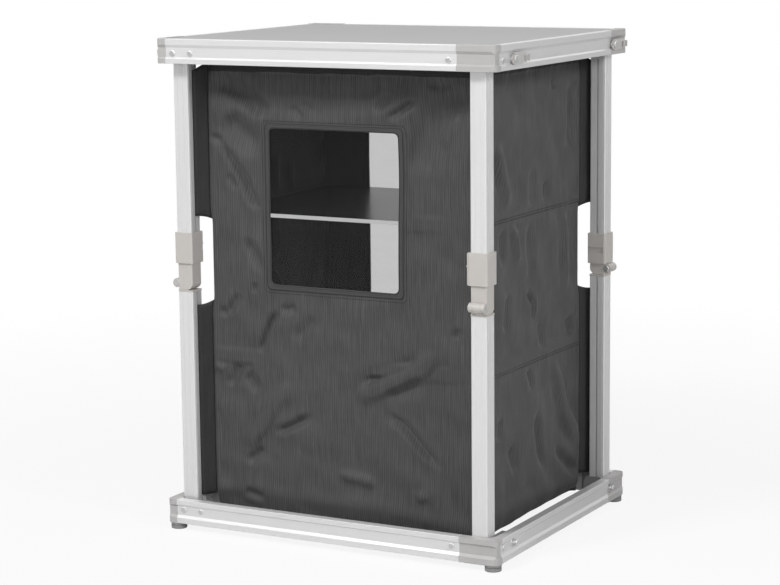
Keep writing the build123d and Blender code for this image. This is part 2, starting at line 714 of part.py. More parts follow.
def door_outline():
    outline = RectangleRounded(DOOR_WIDTH, DOOR_TOP - DOOR_BOTTOM, DOOR_CORNER)
    middle = (DOOR_TOP + DOOR_BOTTOM) / 2
    return Plane(origin=(0, BOX_Y - FABRIC, middle), x_dir=(1, 0, 0), z_dir=(0, 1, 0)) * outline


def back_border():
    width = 2 * BOX_X - 2 * FABRIC
    sheet = block(-width / 2, width / 2, BOX_Y - FABRIC, BOX_Y, FABRIC_BOTTOM, FABRIC_TOP)
    sheet -= [Pos(0, BOX_Y, 0) * cut for cut in corner_cuts(width)]
    return sheet - extrude(door_outline(), amount=FABRIC)


def roll_centre():
    return BOX_Y - FABRIC - ROLL_RADIUS - TIE - 2 * TIE_GAP, DOOR_TOP


def rolled_door():
    # The door rolled up at the top of its opening, in two straps
    y, z = roll_centre()
    half = DOOR_WIDTH / 2 + ROLL_OVERLAP
    roll = rod_x(ROLL_RADIUS, -half, half, y, z)
    roll = fillet(roll.edges().filter_by(GeomType.CIRCLE), ROLL_END_ROUND)
    straps = []
    for x in (-TIE_SPACING / 2, TIE_SPACING / 2):
        low = x - TIE_WIDTH / 2
        high = x + TIE_WIDTH / 2
        ring = rod_x(ROLL_RADIUS + TIE_GAP + TIE, low, high, y, z)
        straps.append(ring - rod_x(ROLL_RADIUS + TIE_GAP, low, high, y, z))
    return [roll] + straps


def fabric_floor():
    x = BOX_X - FABRIC
    y = BOX_Y - FABRIC
    return block(-x, x, -y, y, FABRIC_BOTTOM, FABRIC_BOTTOM + FABRIC)


def leg_flap(low, high):
    # From the keder bead in the leg's channel out through the slot and across to the box's corner
    bead_x = -LEG / 2 + CHANNEL_DEPTH
    bend_x = -LEG / 2 - CHANNEL_SLOT
    corner_x = LEG_INSET_OUT - FABRIC_INSET
    corner_y = LEG_INSET_SIDE - FABRIC_INSET
    bead = rod_z(BEAD_RADIUS, low, high, bead_x, 0)
    neck = block(bend_x - FLAP / 2, bead_x, -FLAP / 2, FLAP / 2, low, high)
    run_x = corner_x - bend_x
    run_y = corner_y
    length = hypot(run_x, run_y) - FLAP / 2
    strip = block(0, length, -FLAP / 2, FLAP / 2, low, high)
    strip = Location((bend_x, 0, 0), (0, 0, degrees(atan2(run_y, run_x)))) * strip
    return bead + neck + strip


def board(top):
    x = BOX_X - FABRIC - BOARD_CLEARANCE
    y = BOX_Y - FABRIC - BOARD_CLEARANCE
    sheet = extrude(RectangleRounded(2 * x, 2 * y, BOARD_CORNER), amount=-BOARD)
    return Pos(0, 0, top) * sheet


# Feet

def foot(side_x, side_y):
    x = side_x * (WIDTH / 2 - FOOT_INSET)
    y = side_y * (DEPTH / 2 - FOOT_INSET)
    pad = rod_z(FOOT_RADIUS, 0, FOOT_PAD, x, y)
    pad = fillet(pad.edges().filter_by(GeomType.CIRCLE).sort_by(Axis.Z)[0], FOOT_GROOVE)
    neck = rod_z(FOOT_RADIUS - FOOT_GROOVE_DEPTH, FOOT_PAD, FOOT_PAD + FOOT_GROOVE, x, y)
    collar = rod_z(FOOT_RADIUS, FOOT_PAD + FOOT_GROOVE, FOOT_HEIGHT, x, y)
    stem = rod_z(FOOT_STEM_RADIUS, FOOT_HEIGHT, FOOT_HEIGHT + FOOT_STEM_LENGTH, x, y)
    return pad + neck + collar + stem


def foot_bore(side_x, side_y):
    x = side_x * (WIDTH / 2 - FOOT_INSET)
    y = side_y * (DEPTH / 2 - FOOT_INSET)
    return rod_z(FOOT_STEM_RADIUS + BORE_CLEARANCE, 0, FOOT_HEIGHT + FOOT_STEM_LENGTH + FOOT_STEM_ROOM, x, y)


# Assembly

def add_frames():
    rail_ring = frame_ring(RAIL_SETBACK)
    corner_ring = frame_ring(0)
    cavity = rail_cavity()
    low_bores = pivot_bores() + screw_bores()
    boxes = rail_boxes()
    for top in (False, True):
        level = "top" if top else "bottom"
        bores = [to_top(bore) for bore in low_bores] if top else low_bores
        for side, box in boxes.items():
            rail = softened_rail(rail_ring & box) - cavity
            parts[f"{level}_rail_{side}"] = place_ring_piece(rail, top) - bores
        corners = []
        for side_x, side_y in CORNERS:
            arm_x, arm_y = arm_lengths(side_x, side_y)
            corner = corner_ring & corner_box(side_x, side_y, arm_x, arm_y, -RAIL_HEIGHT, 0)
            corner = softened_corner(corner)
            corner += corner_web(side_x, side_y)
            corner += corner_lugs(side_x, side_y)
            corner = place_ring_piece(corner, top) - bores
            if not top:
                corner -= foot_bore(side_x, side_y)
            corners.append(corner)
        parts[f"{level}_corners"] = group(corners)


def add_fittings():
    brackets = leg_brackets()
    bolts = at_each_leg(pivot_bolt())
    screws = front_back_screws()
    parts["bottom_leg_brackets"] = group(brackets)
    parts["base_pivot_bolts"] = group(bolts)
    parts["bottom_frame_screws"] = group(screws)
    parts["top_leg_brackets"] = group(to_top(one) for one in brackets)
    parts["top_pivot_bolts"] = group(to_top(one) for one in bolts)
    parts["top_frame_screws"] = group(to_top(one) for one in screws)
    parts["feet"] = group(foot(*corner) for corner in CORNERS)
    parts["latch_studs"] = group(at_side(place, latch_stud(), BASE_PIVOT_Z) for place in side_places())
    parts["latch_pivot_screws"] = group(
        at_side(place, latch_pivot_screw(), TOP_PIVOT_Z) for place in side_places())
    for place in side_places():
        parts[f"{place}_latch"] = at_side(place, latch(), TOP_PIVOT_Z)


def add_tabletop():
    margin = RAIL_THICKNESS - LEDGE_WIDTH + PANEL_CLEARANCE
    x = WIDTH / 2 - margin
    y = DEPTH / 2 - margin
    parts["tabletop_panel"] = block(-x, x, -y, y, PANEL_BOTTOM, PANEL_BOTTOM + PANEL_THICKNESS)


def add_legs():
    lower_top = KNEE_Z - KNEE_PARTING - KNEE_CAP
    upper_low = KNEE_Z + KNEE_BLOCK
    pieces = {
        "lower_tube": leg_tube(BASE_PIVOT_Z - LEG_END, lower_top, BASE_PIVOT_Z),
        "lower_knee": lower_knee(),
        "upper_tube": leg_tube(upper_low, TOP_PIVOT_Z + LEG_END, TOP_PIVOT_Z),
        "upper_knee": upper_knee(),
        "knee_pin": knee_pin(),
    }
    for leg in LEGS:
        for name, shape in pieces.items():
            parts[f"{leg}_{name}"] = at_leg(leg, shape)
        rest = SLEEVE_LOWERED if leg == LOWERED_SLEEVE else SLEEVE_PARKED
        parts[f"{leg}_sleeve"] = at_leg(leg, sleeve(KNEE_Z + rest))


def add_fabric():
    parts["fabric_front_panel"] = front_panel()
    parts["window_binding"] = window_binding()
    parts["window_film"] = window_film()
    right = Location((BOX_X - FABRIC, 0, 0), (0, 0, -90)) * side_panel()
    parts["fabric_right_panel"] = right
    parts["fabric_left_panel"] = Rot(0, 0, 180) * right
    parts["fabric_back_border"] = back_border()
    parts["fabric_floor"] = fabric_floor()
    flaps = at_each_leg(leg_flap(*LOWER_FLAP)) + at_each_leg(leg_flap(*UPPER_FLAP))
    parts["leg_flaps"] = group(flaps)
    parts["rolled_door"] = group(rolled_door())


def add_boards():
    parts["floor_board"] = board(FABRIC_BOTTOM + FABRIC + BOARD)
    parts["lower_shelf"] = board(LOWER_SHELF_TOP)
    parts["upper_shelf"] = board(UPPER_SHELF_TOP)


add_frames()
add_fittings()
add_tabletop()
add_legs()
add_fabric()
add_boards()

os.makedirs("parts", exist_ok=True)
for node, shape in parts.items():
    export_step(shape, f"parts/{node}.step")
print(len(parts), "nodes")
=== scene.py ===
"""A folding camping cupboard: finishes for its metal and plastic, and its cloth body.

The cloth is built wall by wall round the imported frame. Each wall is a flat pattern in
metres, across and up, that one rule lifts into folds, bends round the corners of the box
and pulls towards the legs. Tapes, stitches, the window film and the zip follow the same
rule, so they lie on the cloth wherever it goes.
"""

import math

import bpy
import numpy as np
from mathutils import Matrix, Vector, noise


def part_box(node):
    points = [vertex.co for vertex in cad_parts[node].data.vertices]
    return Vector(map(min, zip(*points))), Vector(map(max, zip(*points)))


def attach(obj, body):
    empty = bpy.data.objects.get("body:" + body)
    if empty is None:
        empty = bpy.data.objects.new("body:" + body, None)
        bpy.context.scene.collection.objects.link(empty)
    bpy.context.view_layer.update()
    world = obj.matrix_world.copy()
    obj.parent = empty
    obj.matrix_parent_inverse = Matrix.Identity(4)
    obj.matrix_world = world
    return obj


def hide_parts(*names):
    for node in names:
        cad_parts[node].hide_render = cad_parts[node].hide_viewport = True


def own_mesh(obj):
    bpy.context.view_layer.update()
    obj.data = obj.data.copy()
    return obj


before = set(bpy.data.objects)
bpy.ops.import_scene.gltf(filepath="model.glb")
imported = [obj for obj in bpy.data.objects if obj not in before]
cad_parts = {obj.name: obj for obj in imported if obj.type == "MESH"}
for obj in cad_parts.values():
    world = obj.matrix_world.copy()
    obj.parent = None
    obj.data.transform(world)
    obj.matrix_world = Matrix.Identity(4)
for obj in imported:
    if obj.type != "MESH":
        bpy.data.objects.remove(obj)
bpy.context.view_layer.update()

MM = 0.001

# The cloth box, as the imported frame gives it
front_low, front_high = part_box("fabric_front_panel")
right_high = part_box("fabric_right_panel")[1]
tape_low, tape_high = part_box("window_binding")
roll_low, roll_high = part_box("rolled_door")
BOX_X = front_high.x
BOX_Y = right_high.y
FLOOR_LEVEL = front_low.z
CLOTH_HIGH = front_high.z

# Cloth and what is sewn on it
CLOTH = 1.2 * MM
CORNER_RADIUS = 6 * MM
CORNER_PULL = 5 * MM
CORNER_PULL_REACH = 20 * MM
MOST_LIFT = 6.5 * MM
CORNER_CUT = 14 * MM
CORNER_CUT_DROP = 24 * MM
GAP_LOW = 370 * MM
GAP_HIGH = 515 * MM
GAP_FADE = 14 * MM
FINE_CELL = 3.2 * MM
WIDE_CELL = 4.5 * MM
CLOTH_SINK = 1.0 * MM
HEM_HEIGHT = 748 * MM
HEM_STEP = 1.6 * MM
HEM_LEAN = 4.5 * MM
HEM_REACH = 20 * MM
BOTTOM_BULGE = 5.0 * MM
BOTTOM_TUCK = 11 * MM
BOTTOM_LIP = 8 * MM
BOTTOM_REACH = 17 * MM
CLOTH_LOW = FLOOR_LEVEL - BOTTOM_LIP
BOARD_LEVELS = (36 * MM, 286 * MM, 520 * MM)
BOARD_REACH = 16 * MM
SIDE_SEAMS = (518 * MM, 276 * MM)

# Window
TAPE_WIDTH = 10 * MM
TAPE_THICK = 0.3 * MM
WINDOW_RADIUS = 8 * MM
WINDOW_LEFT = tape_low.x + TAPE_WIDTH
WINDOW_RIGHT = tape_high.x - TAPE_WIDTH
WINDOW_LOW = tape_low.z + TAPE_WIDTH
WINDOW_HIGH = tape_high.z - TAPE_WIDTH
WINDOW_CALM = 26 * MM
FILM_LAP = 7 * MM
FILM_THICK = 0.4 * MM
FILM_BEHIND = 1.5 * MM

# Door side
DOOR_HALF = 165 * MM
DOOR_LOW = 70 * MM
DOOR_HIGH = 730 * MM
DOOR_RADIUS = 30 * MM
DOOR_HEM = 14 * MM
ZIP_WIDTH = 10 * MM

# Each wall is drawn to the legs' channels at both its ends: the ways, across and outwards
DRAWN_LEFT = (-0.53, 0.85)
DRAWN_RIGHT = (0.85, 0.53)

LEGS = {
    "front_left": ((-270 * MM, -212 * MM), (-1, 0)),
    "front_right": ((262 * MM, -220 * MM), (0, -1)),
    "back_right": ((270 * MM, 212 * MM), (1, 0)),
    "back_left": ((-262 * MM, 220 * MM), (0, 1)),
}


# Shader maths

MIX_FIRST = 6
MIX_SECOND = 7
MIX_RESULT = 2


class Value:
    """A shader socket that takes part in ordinary sums."""

    def __init__(self, shading, socket):
        self.shading = shading
        self.socket = socket

    def __add__(self, other):
        return self.shading.sum("ADD", self, other)

    def __sub__(self, other):
        return self.shading.sum("SUBTRACT", self, other)

    def __rsub__(self, other):
        return self.shading.sum("SUBTRACT", other, self)

    def __mul__(self, other):
        return self.shading.sum("MULTIPLY", self, other)

    def __gt__(self, other):
        return self.shading.sum("GREATER_THAN", self, other)

    __radd__ = __add__
    __rmul__ = __mul__


class Shading:
    """The node tree of a material or the world."""

    def __init__(self, tree):
        tree.nodes.clear()
        self.tree = tree

    def node(self, kind, sockets=None, output=0, **settings):
        made = self.tree.nodes.new(kind)
        for key, value in settings.items():
            setattr(made, key, value)
        for key, value in (sockets or {}).items():
            if isinstance(value, Value):
                self.tree.links.new(value.socket, made.inputs[key])
            else:
                made.inputs[key].default_value = value
        return None if output is None else Value(self, made.outputs[output])

    def sum(self, operation, *given):
        return self.node("ShaderNodeMath", dict(enumerate(given)), operation=operation)

    def split(self, place):
        """The first two parts of a place."""
        first = self.node("ShaderNodeSeparateXYZ", {0: place})
        return first, Value(self, first.socket.node.outputs[1])

    def stretched(self, place, scale):
        return self.node("ShaderNodeVectorMath", {0: place, 1: scale}, operation="MULTIPLY")

    def noise(self, place, scale=1.0, detail=2.0, rough=0.5):
        sockets = {"Vector": place, "Scale": scale, "Detail": detail, "Roughness": rough}
        return self.node("ShaderNodeTexNoise", sockets)

    def between(self, share, first, second):
        sockets = {0: share, MIX_FIRST: first, MIX_SECOND: second}
        return self.node("ShaderNodeMix", sockets, MIX_RESULT, data_type="RGBA")

    def bump(self, height, distance):
        sockets = {"Height": height, "Distance": distance, "Strength": 1.0}
        return self.node("ShaderNodeBump", sockets)


class Finish(Shading):
    """A material and the way it is put together."""

    def __init__(self, name):
        self.material = bpy.data.materials.new(name)
        self.material.use_nodes = True
        super().__init__(self.material.node_tree)

    def place(self):
        return self.node("ShaderNodeTexCoord", output="Object")

    def weave(self):
        return self.node("ShaderNodeUVMap", uv_map="weave")

    def surface(self, sockets):
        shader = self.node("ShaderNodeBsdfPrincipled", sockets)
        self.node("ShaderNodeOutputMaterial", {"Surface": shader}, None)
        return self.material


def grey(level, warmth=0.0):
    """A near neutral colour, a little warmer than grey where warmth is above 0."""
    return (level * (1 + warmth), level, level * (1 - warmth), 1)


def anodised(name, level, grain, metal):
    """Satin anodised aluminium with drawing marks along the profile, thin across grain."""
    finish = Finish(name)
    marks = finish.noise(finish.stretched(finish.place(), grain), detail=3, rough=0.6)
    cloud = finish.noise(finish.place(), 9, detail=2)
    tone = marks * 0.7 + cloud * 0.3
    return finish.surface({
        "Base Color": finish.between(tone, grey(level * 0.95), grey(min(level * 1.05, 0.95))),
        "Metallic": metal,
        "Roughness": 0.33 + marks * 0.14,
        "Normal": finish.bump(marks, 0.03 * MM),
    })


def moulded(name, level, warmth, rough, grain=2400):
    """Moulded plastic with fine spark-eroded grain and slightly polished high spots."""
    finish = Finish(name)
    fine = finish.noise(finish.place(), grain, detail=2)
    cloud = finish.noise(finish.place(), 40, detail=3)
    tone = cloud * 0.6 + fine * 0.4
    return finish.surface({
        "Base Color": finish.between(tone, grey(level * 0.93, warmth), grey(level * 1.07, warmth)),
        "Roughness": rough + fine * 0.12,
        "Normal": finish.bump(fine, 0.04 * MM),
    })


def plated(name):
    """Bright plated steel of the screws, studs and pins."""
    finish = Finish(name)
    wear = finish.noise(finish.place(), 600, detail=3)
    return finish.surface({
        "Base Color": finish.between(wear, grey(0.62), grey(0.8)),
        "Metallic": 0.9,
        "Roughness": 0.22 + wear * 0.16,
        "Normal": finish.bump(wear, 0.02 * MM),
    })


def laminate(name, level):
    """Light grey laminate with a fine mottle and a low sheen."""
    finish = Finish(name)
    mottle = finish.noise(finish.place(), 420, detail=4, rough=0.7)
    cloud = finish.noise(finish.place(), 7, detail=2)
    tone = mottle * 0.5 + cloud * 0.5
    return finish.surface({
        "Base Color": finish.between(tone, grey(level * 0.94), grey(level * 1.06)),
        "Roughness": 0.42 + mottle * 0.14,
        "Normal": finish.bump(mottle, 0.05 * MM),
    })


EDGE_STRIP = 1.0 * MM


def covered_board(name):
    """Dark covered board with a pale strip along its edges."""
    finish = Finish(name)
    place = finish.place()
    across, deep = finish.split(place)
    board_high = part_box("upper_shelf")[1]
    side_edge = finish.sum("ABSOLUTE", across) > board_high.x - EDGE_STRIP
    front_edge = finish.sum("ABSOLUTE", deep) > board_high.y - EDGE_STRIP
    edge = finish.sum("MAXIMUM", side_edge, front_edge)
    fine = finish.noise(place, 700, detail=3)
    cloud = finish.noise(place, 16, detail=2)
    skin = finish.between(fine * 0.6 + cloud * 0.4, grey(0.026), grey(0.044))
    return finish.surface({
        "Base Color": finish.between(edge, skin, grey(0.5)),
        "Roughness": 0.2 + fine * 0.12 + edge * 0.2,
        "Normal": finish.bump(fine, 0.03 * MM),
    })


RIB_PITCH = 3.7 * MM


def woven(name, level, contrast, ribs=(440, 17, 1), rib_depth=0.3, hem=None, joins=()):
    """Coated polyester: fine upright ribs, broken up along their length, with a low sheen.

    Above hem the cloth is painted near black: painted shade under the top rail, over the hem. At
    each join a dark line is painted: painted shade in the gap where two panels meet.
    """
    finish = Finish(name)
    weave = finish.weave()
    along, height = finish.split(weave)
    wobble = finish.noise(finish.stretched(weave, (60, 5, 1)), detail=1)
    ridge = finish.sum("SINE", along * (2 * math.pi / RIB_PITCH) + wobble * 5.0)
    streak = finish.noise(finish.stretched(weave, ribs), detail=3, rough=0.65)
    rib = ridge * 0.13 + streak
    thread = finish.noise(finish.stretched(weave, (2600, 1500, 1)), detail=1)
    cloud = finish.noise(weave, 14, detail=3)
    tone = rib * 0.62 + thread * 0.2 + cloud * 0.18
    spread = finish.node("ShaderNodeMapRange", {0: tone, 1: 0.34, 2: 0.66})
    low = grey(level * (1 - contrast))
    high = grey(level * (1 + contrast))
    colour = finish.between(spread, low, high)
    # Painted shade: near black above the hem for the shade under the top rail, and a dark line at
    # each join for the shade in the gap between panels
    if hem:
        wander = finish.noise(finish.stretched(weave, (22, 1, 1)), detail=1)
        painted_shade = height + (wander - 0.5) * (6 * MM) > hem
        for join in joins:
            near = 1.0 - (finish.sum("ABSOLUTE", height - join) > 1.0 * MM)
            painted_shade = finish.sum("MAXIMUM", painted_shade, near)
        colour = finish.between(painted_shade, colour, grey(level * 0.16))
    return finish.surface({
        "Base Color": colour,
        "Roughness": 0.62 + thread * 0.2,
        "Sheen Weight": 0.12,
        "Sheen Roughness": 0.4,
        "Normal": finish.bump(rib * 0.7 + thread * 0.3, rib_depth * MM),
    })


def clear_film(name):
    """Smoked flexible film, scuffed a little where it is handled."""
    finish = Finish(name)
    scuff = finish.noise(finish.stretched(finish.place(), (30, 30, 90)), detail=4, rough=0.7)
    return finish.surface({
        "Base Color": grey(0.02),
        "Roughness": 0.06 + scuff * 0.12,
        "Alpha": 0.26 + scuff * 0.04,
        "Normal": finish.bump(scuff, 0.4 * MM),
    })


ALONG_X = (5, 900, 900)
ALONG_Y = (900, 5, 900)
ALONG_Z = (900, 900, 5)

# The rails along y get a lower level than the rails along x: painted shade on the side rails. The
# grain runs along each rail.
rail_x = anodised("rail_along_x", 0.80, ALONG_X, 0.35)
rail_y = anodised("rail_along_y", 0.72, ALONG_Y, 0.35)
leg_metal = anodised("leg_metal", 0.82, ALONG_Z, 0.4)
corner_plastic = moulded("corner_plastic", 0.50, 0.012, 0.42)
foot_plastic = moulded("foot_plastic", 0.28, 0.01, 0.5)
fitting_plastic = moulded("fitting_plastic", 0.56, 0.05, 0.36, grain=1700)
bracket_plastic = moulded("bracket_plastic", 0.26, 0.0, 0.5)
latch_plastic = moulded("latch_plastic", 0.58, 0.03, 0.34, grain=1500)
bright_screw = plated("bright_screw")
table_laminate = laminate("table_laminate", 0.41)
shelf_board = covered_board("shelf_board")
body_cloth = woven("body_cloth", 0.058, 0.42)
# The front and side cloth carry painted shade above the hem; the side cloth also has painted shade
# lines at its joins
front_finish = woven("front_cloth", 0.058, 0.42, hem=HEM_HEIGHT)
# The side cloth's level is a little above the front cloth's: painted light on the side walls
side_finish = woven("side_cloth", 0.062, 0.42, hem=HEM_HEIGHT, joins=SIDE_SEAMS)
flap_cloth = woven("flap_cloth", 0.018, 0.3)
tape_cloth = woven("tape_cloth", 0.055, 0.3, ribs=(500, 400, 1), rib_depth=0.15)
thread_finish = woven("thread", 0.008, 0.3, ribs=(3000, 3000, 1), rib_depth=0.05)
zip_plastic = moulded("zip_plastic", 0.03, 0.0, 0.35)
window_finish = clear_film("window_film")


# The first of these parts of a name that fits gives a rigid piece its finish
FINISHES = {
    "rail_front": rail_x,
    "rail_back": rail_x,
    "rail_right": rail_y,
    "rail_left": rail_y,
    "tube": leg_metal,
    "corners": corner_plastic,
    "feet": foot_plastic,
    "brackets": bracket_plastic,
    "screws": bright_screw,
    "bolts": bright_screw,
    "studs": bright_screw,
    "pin": bright_screw,
    "latch": latch_plastic,
    "knee": fitting_plastic,
    "sleeve": fitting_plastic,
    "tabletop": table_laminate,
    "floor_board": shelf_board,
    "shelf": shelf_board,
}

for node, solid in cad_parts.items():
    fitting = [finish for part, finish in FINISHES.items() if part in node]
    for slot in solid.material_slots:
        slot.material = fitting[0] if fitting else body_cloth


# Folds

# Each fold in mm: half its width, its rise, and then its line, across and up for each point
FRONT_FOLDS = (
    (11, -3.4, -231, 743, -198, 722, -123, 675),
    (12, -3.2, -211, 679, -141, 619),
    (5, -2.4, -219, 639, -193, 602, -159, 544, -139, 522),
    (5, -1.0, -205, 585, -189, 560),
    (4, -1.3, -91, 698, -68, 673),
    (5, -1.0, -75, 705, -45, 686),
    (5, -1.4, -244, 642, -209, 636),
    (6, -1.9, -177, 484, -153, 447, -139, 420),
    (5, -1.6, -190, 387, -214, 353),
    (4, -1.2, -229, 360, -212, 353),
    (4, -1.1, -162, 410, -165, 392),
    (5, -2.6, -117, 367, -129, 353, -151, 301, -156, 286),
    (5, -1.4, -117, 369, -83, 375),
    (8, -1.3, -46, 360, -93, 322),
    (6, -1.8, -192, 275, -214, 235),
    (6, -1.8, -184, 260, -154, 230),
    (5, 1.8, -243, 287, -237, 269, -216, 261),
    (8, 3.0, -97, 253, -137, 198, -156, 172, -182, 133),
    (5, -2.3, -59, 203, -89, 182, -133, 160),
    (6, -2.0, -145, 134, -185, 108),
    (5, -1.5, -191, 61, -144, 54),
    (22, -4.2, 217, 735, 188, 707, 180, 686, 149, 644, 117, 601),
    (4.5, -2.0, 137, 715, 111, 695, 81, 676),
    (6, -1.2, 93, 716, 60, 692),
    (5, -1.8, 149, 742, 176, 733, 197, 738),
    (9, 2.0, 202, 695, 176, 637),
    (5, -1.2, 205, 363, 198, 344),
    (9, 3.4, 178, 326, 142, 294, 104, 274, 50, 248, 17, 226),
    (7, -1.8, 144, 306, 104, 290, 66, 276, 26, 258),
    (8, -2.2, 144, 279, 108, 262, 70, 242),
    (5, -2.6, 70, 217, 108, 195, 134, 172, 173, 133),
    (6, 1.5, -18, 108, 30, 103, 60, 97),
    (6, 1.4, 146, 94, 130, 82),
)

RIGHT_FOLDS = (
    (7, -2.0, -125, 632, -112, 564),
    (9, 2.4, -121, 645, -108, 608, -74, 540),
    (8, -1.4, 8, 597, 12, 526),
    (7, -1.3, 59, 568, 60, 530),
    (6, -1.4, 89, 728, 92, 712),
    (12, -3.0, 168, 730, 153, 599),
    (7, 2.2, -79, 512, -50, 489, -38, 442),
    (7, -1.5, -106, 512, -102, 448),
    (7, -1.5, 4, 509, 8, 409),
    (4, -2.2, -8, 398, 12, 375, 16, 342),
    (8, 2.2, 131, 517, 140, 372),
    (7, -1.6, -80, 406, -88, 337),
    (7, -1.5, 46, 344, 54, 274),
    (7, -1.8, 144, 329, 166, 290),
    (6, -1.6, -11, 271, 3, 230),
    (9, 3.6, 81, 269, 109, 228, 128, 186, 168, 127, 190, 90),
    (7, -1.8, 16, 202, 39, 114, 62, 81),
    (7, -2.0, 105, 120, 134, 88, 180, 50),
    (6, -1.4, -107, 211, -112, 170),
    (7, -1.6, -73, 158, -47, 104),
)

BACK_FOLDS = (
    (8, -1.8, -215, 690, -190, 560),
    (7, 1.6, -205, 520, -195, 410),
    (8, -2.0, -215, 300, -185, 180),
    (8, 1.8, 205, 660, 190, 540),
    (7, -1.8, 215, 480, 195, 350),
    (8, 1.7, 190, 260, 215, 120),
)

FOLD_STRENGTH = 5.6
FOLD_WIDEN = 1.45
FOLD_FADE = 0.28
FOLD_DRIFT = 5 * MM
FOLD_SKIRT = 2.4
FOLD_SKIRT_SHARE = 0.25
MOST_SINK = 15 * MM


def eased(share):
    """0 to 1, with no corner at either end."""
    share = np.clip(share, 0.0, 1.0)
    return share * share * (3 - 2 * share)


def bell(value, middle, reach):
    return np.exp(-(((value - middle) / reach) ** 2))


def noise_at(*place):
    return noise.noise(Vector(place))


def noise_over(across, up, size, seed):
    """Smooth noise with features about size metres across, one value for each point."""
    flat = np.empty(across.size)
    for place, (a, b) in enumerate(zip(across.ravel(), up.ravel())):
        flat[place] = noise_at(a / size + seed, b / size - seed, seed * 1.7)
    return flat.reshape(across.shape)


def fold_lift(fold, across, up):
    """How far one fold lifts the cloth: a soft bank along its line, gone at both ends."""
    half_width, rise, *line = [number * MM for number in fold]
    points = list(zip(line[::2], line[1::2]))
    nearest = np.full(across.shape, np.inf)
    reached = np.zeros(across.shape)
    travelled = 0.0
    for (a0, b0), (a1, b1) in zip(points, points[1:]):
        run_a, run_b = a1 - a0, b1 - b0
        run = math.hypot(run_a, run_b)
        share = np.clip(((across - a0) * run_a + (up - b0) * run_b) / run**2, 0, 1)
        away = np.hypot(across - a0 - share * run_a, up - b0 - share * run_b)
        closer = away < nearest
        nearest = np.where(closer, away, nearest)
        reached = np.where(closer, travelled + share * run, reached)
        travelled += run
    from_end = np.minimum(reached, travelled - reached) / travelled
    reach = FOLD_WIDEN * half_width
    core = bell(nearest, 0, reach)
    skirt = bell(nearest, 0, FOLD_SKIRT * reach)
    return FOLD_STRENGTH * rise * eased(from_end / FOLD_FADE) * (core - FOLD_SKIRT_SHARE * skirt)


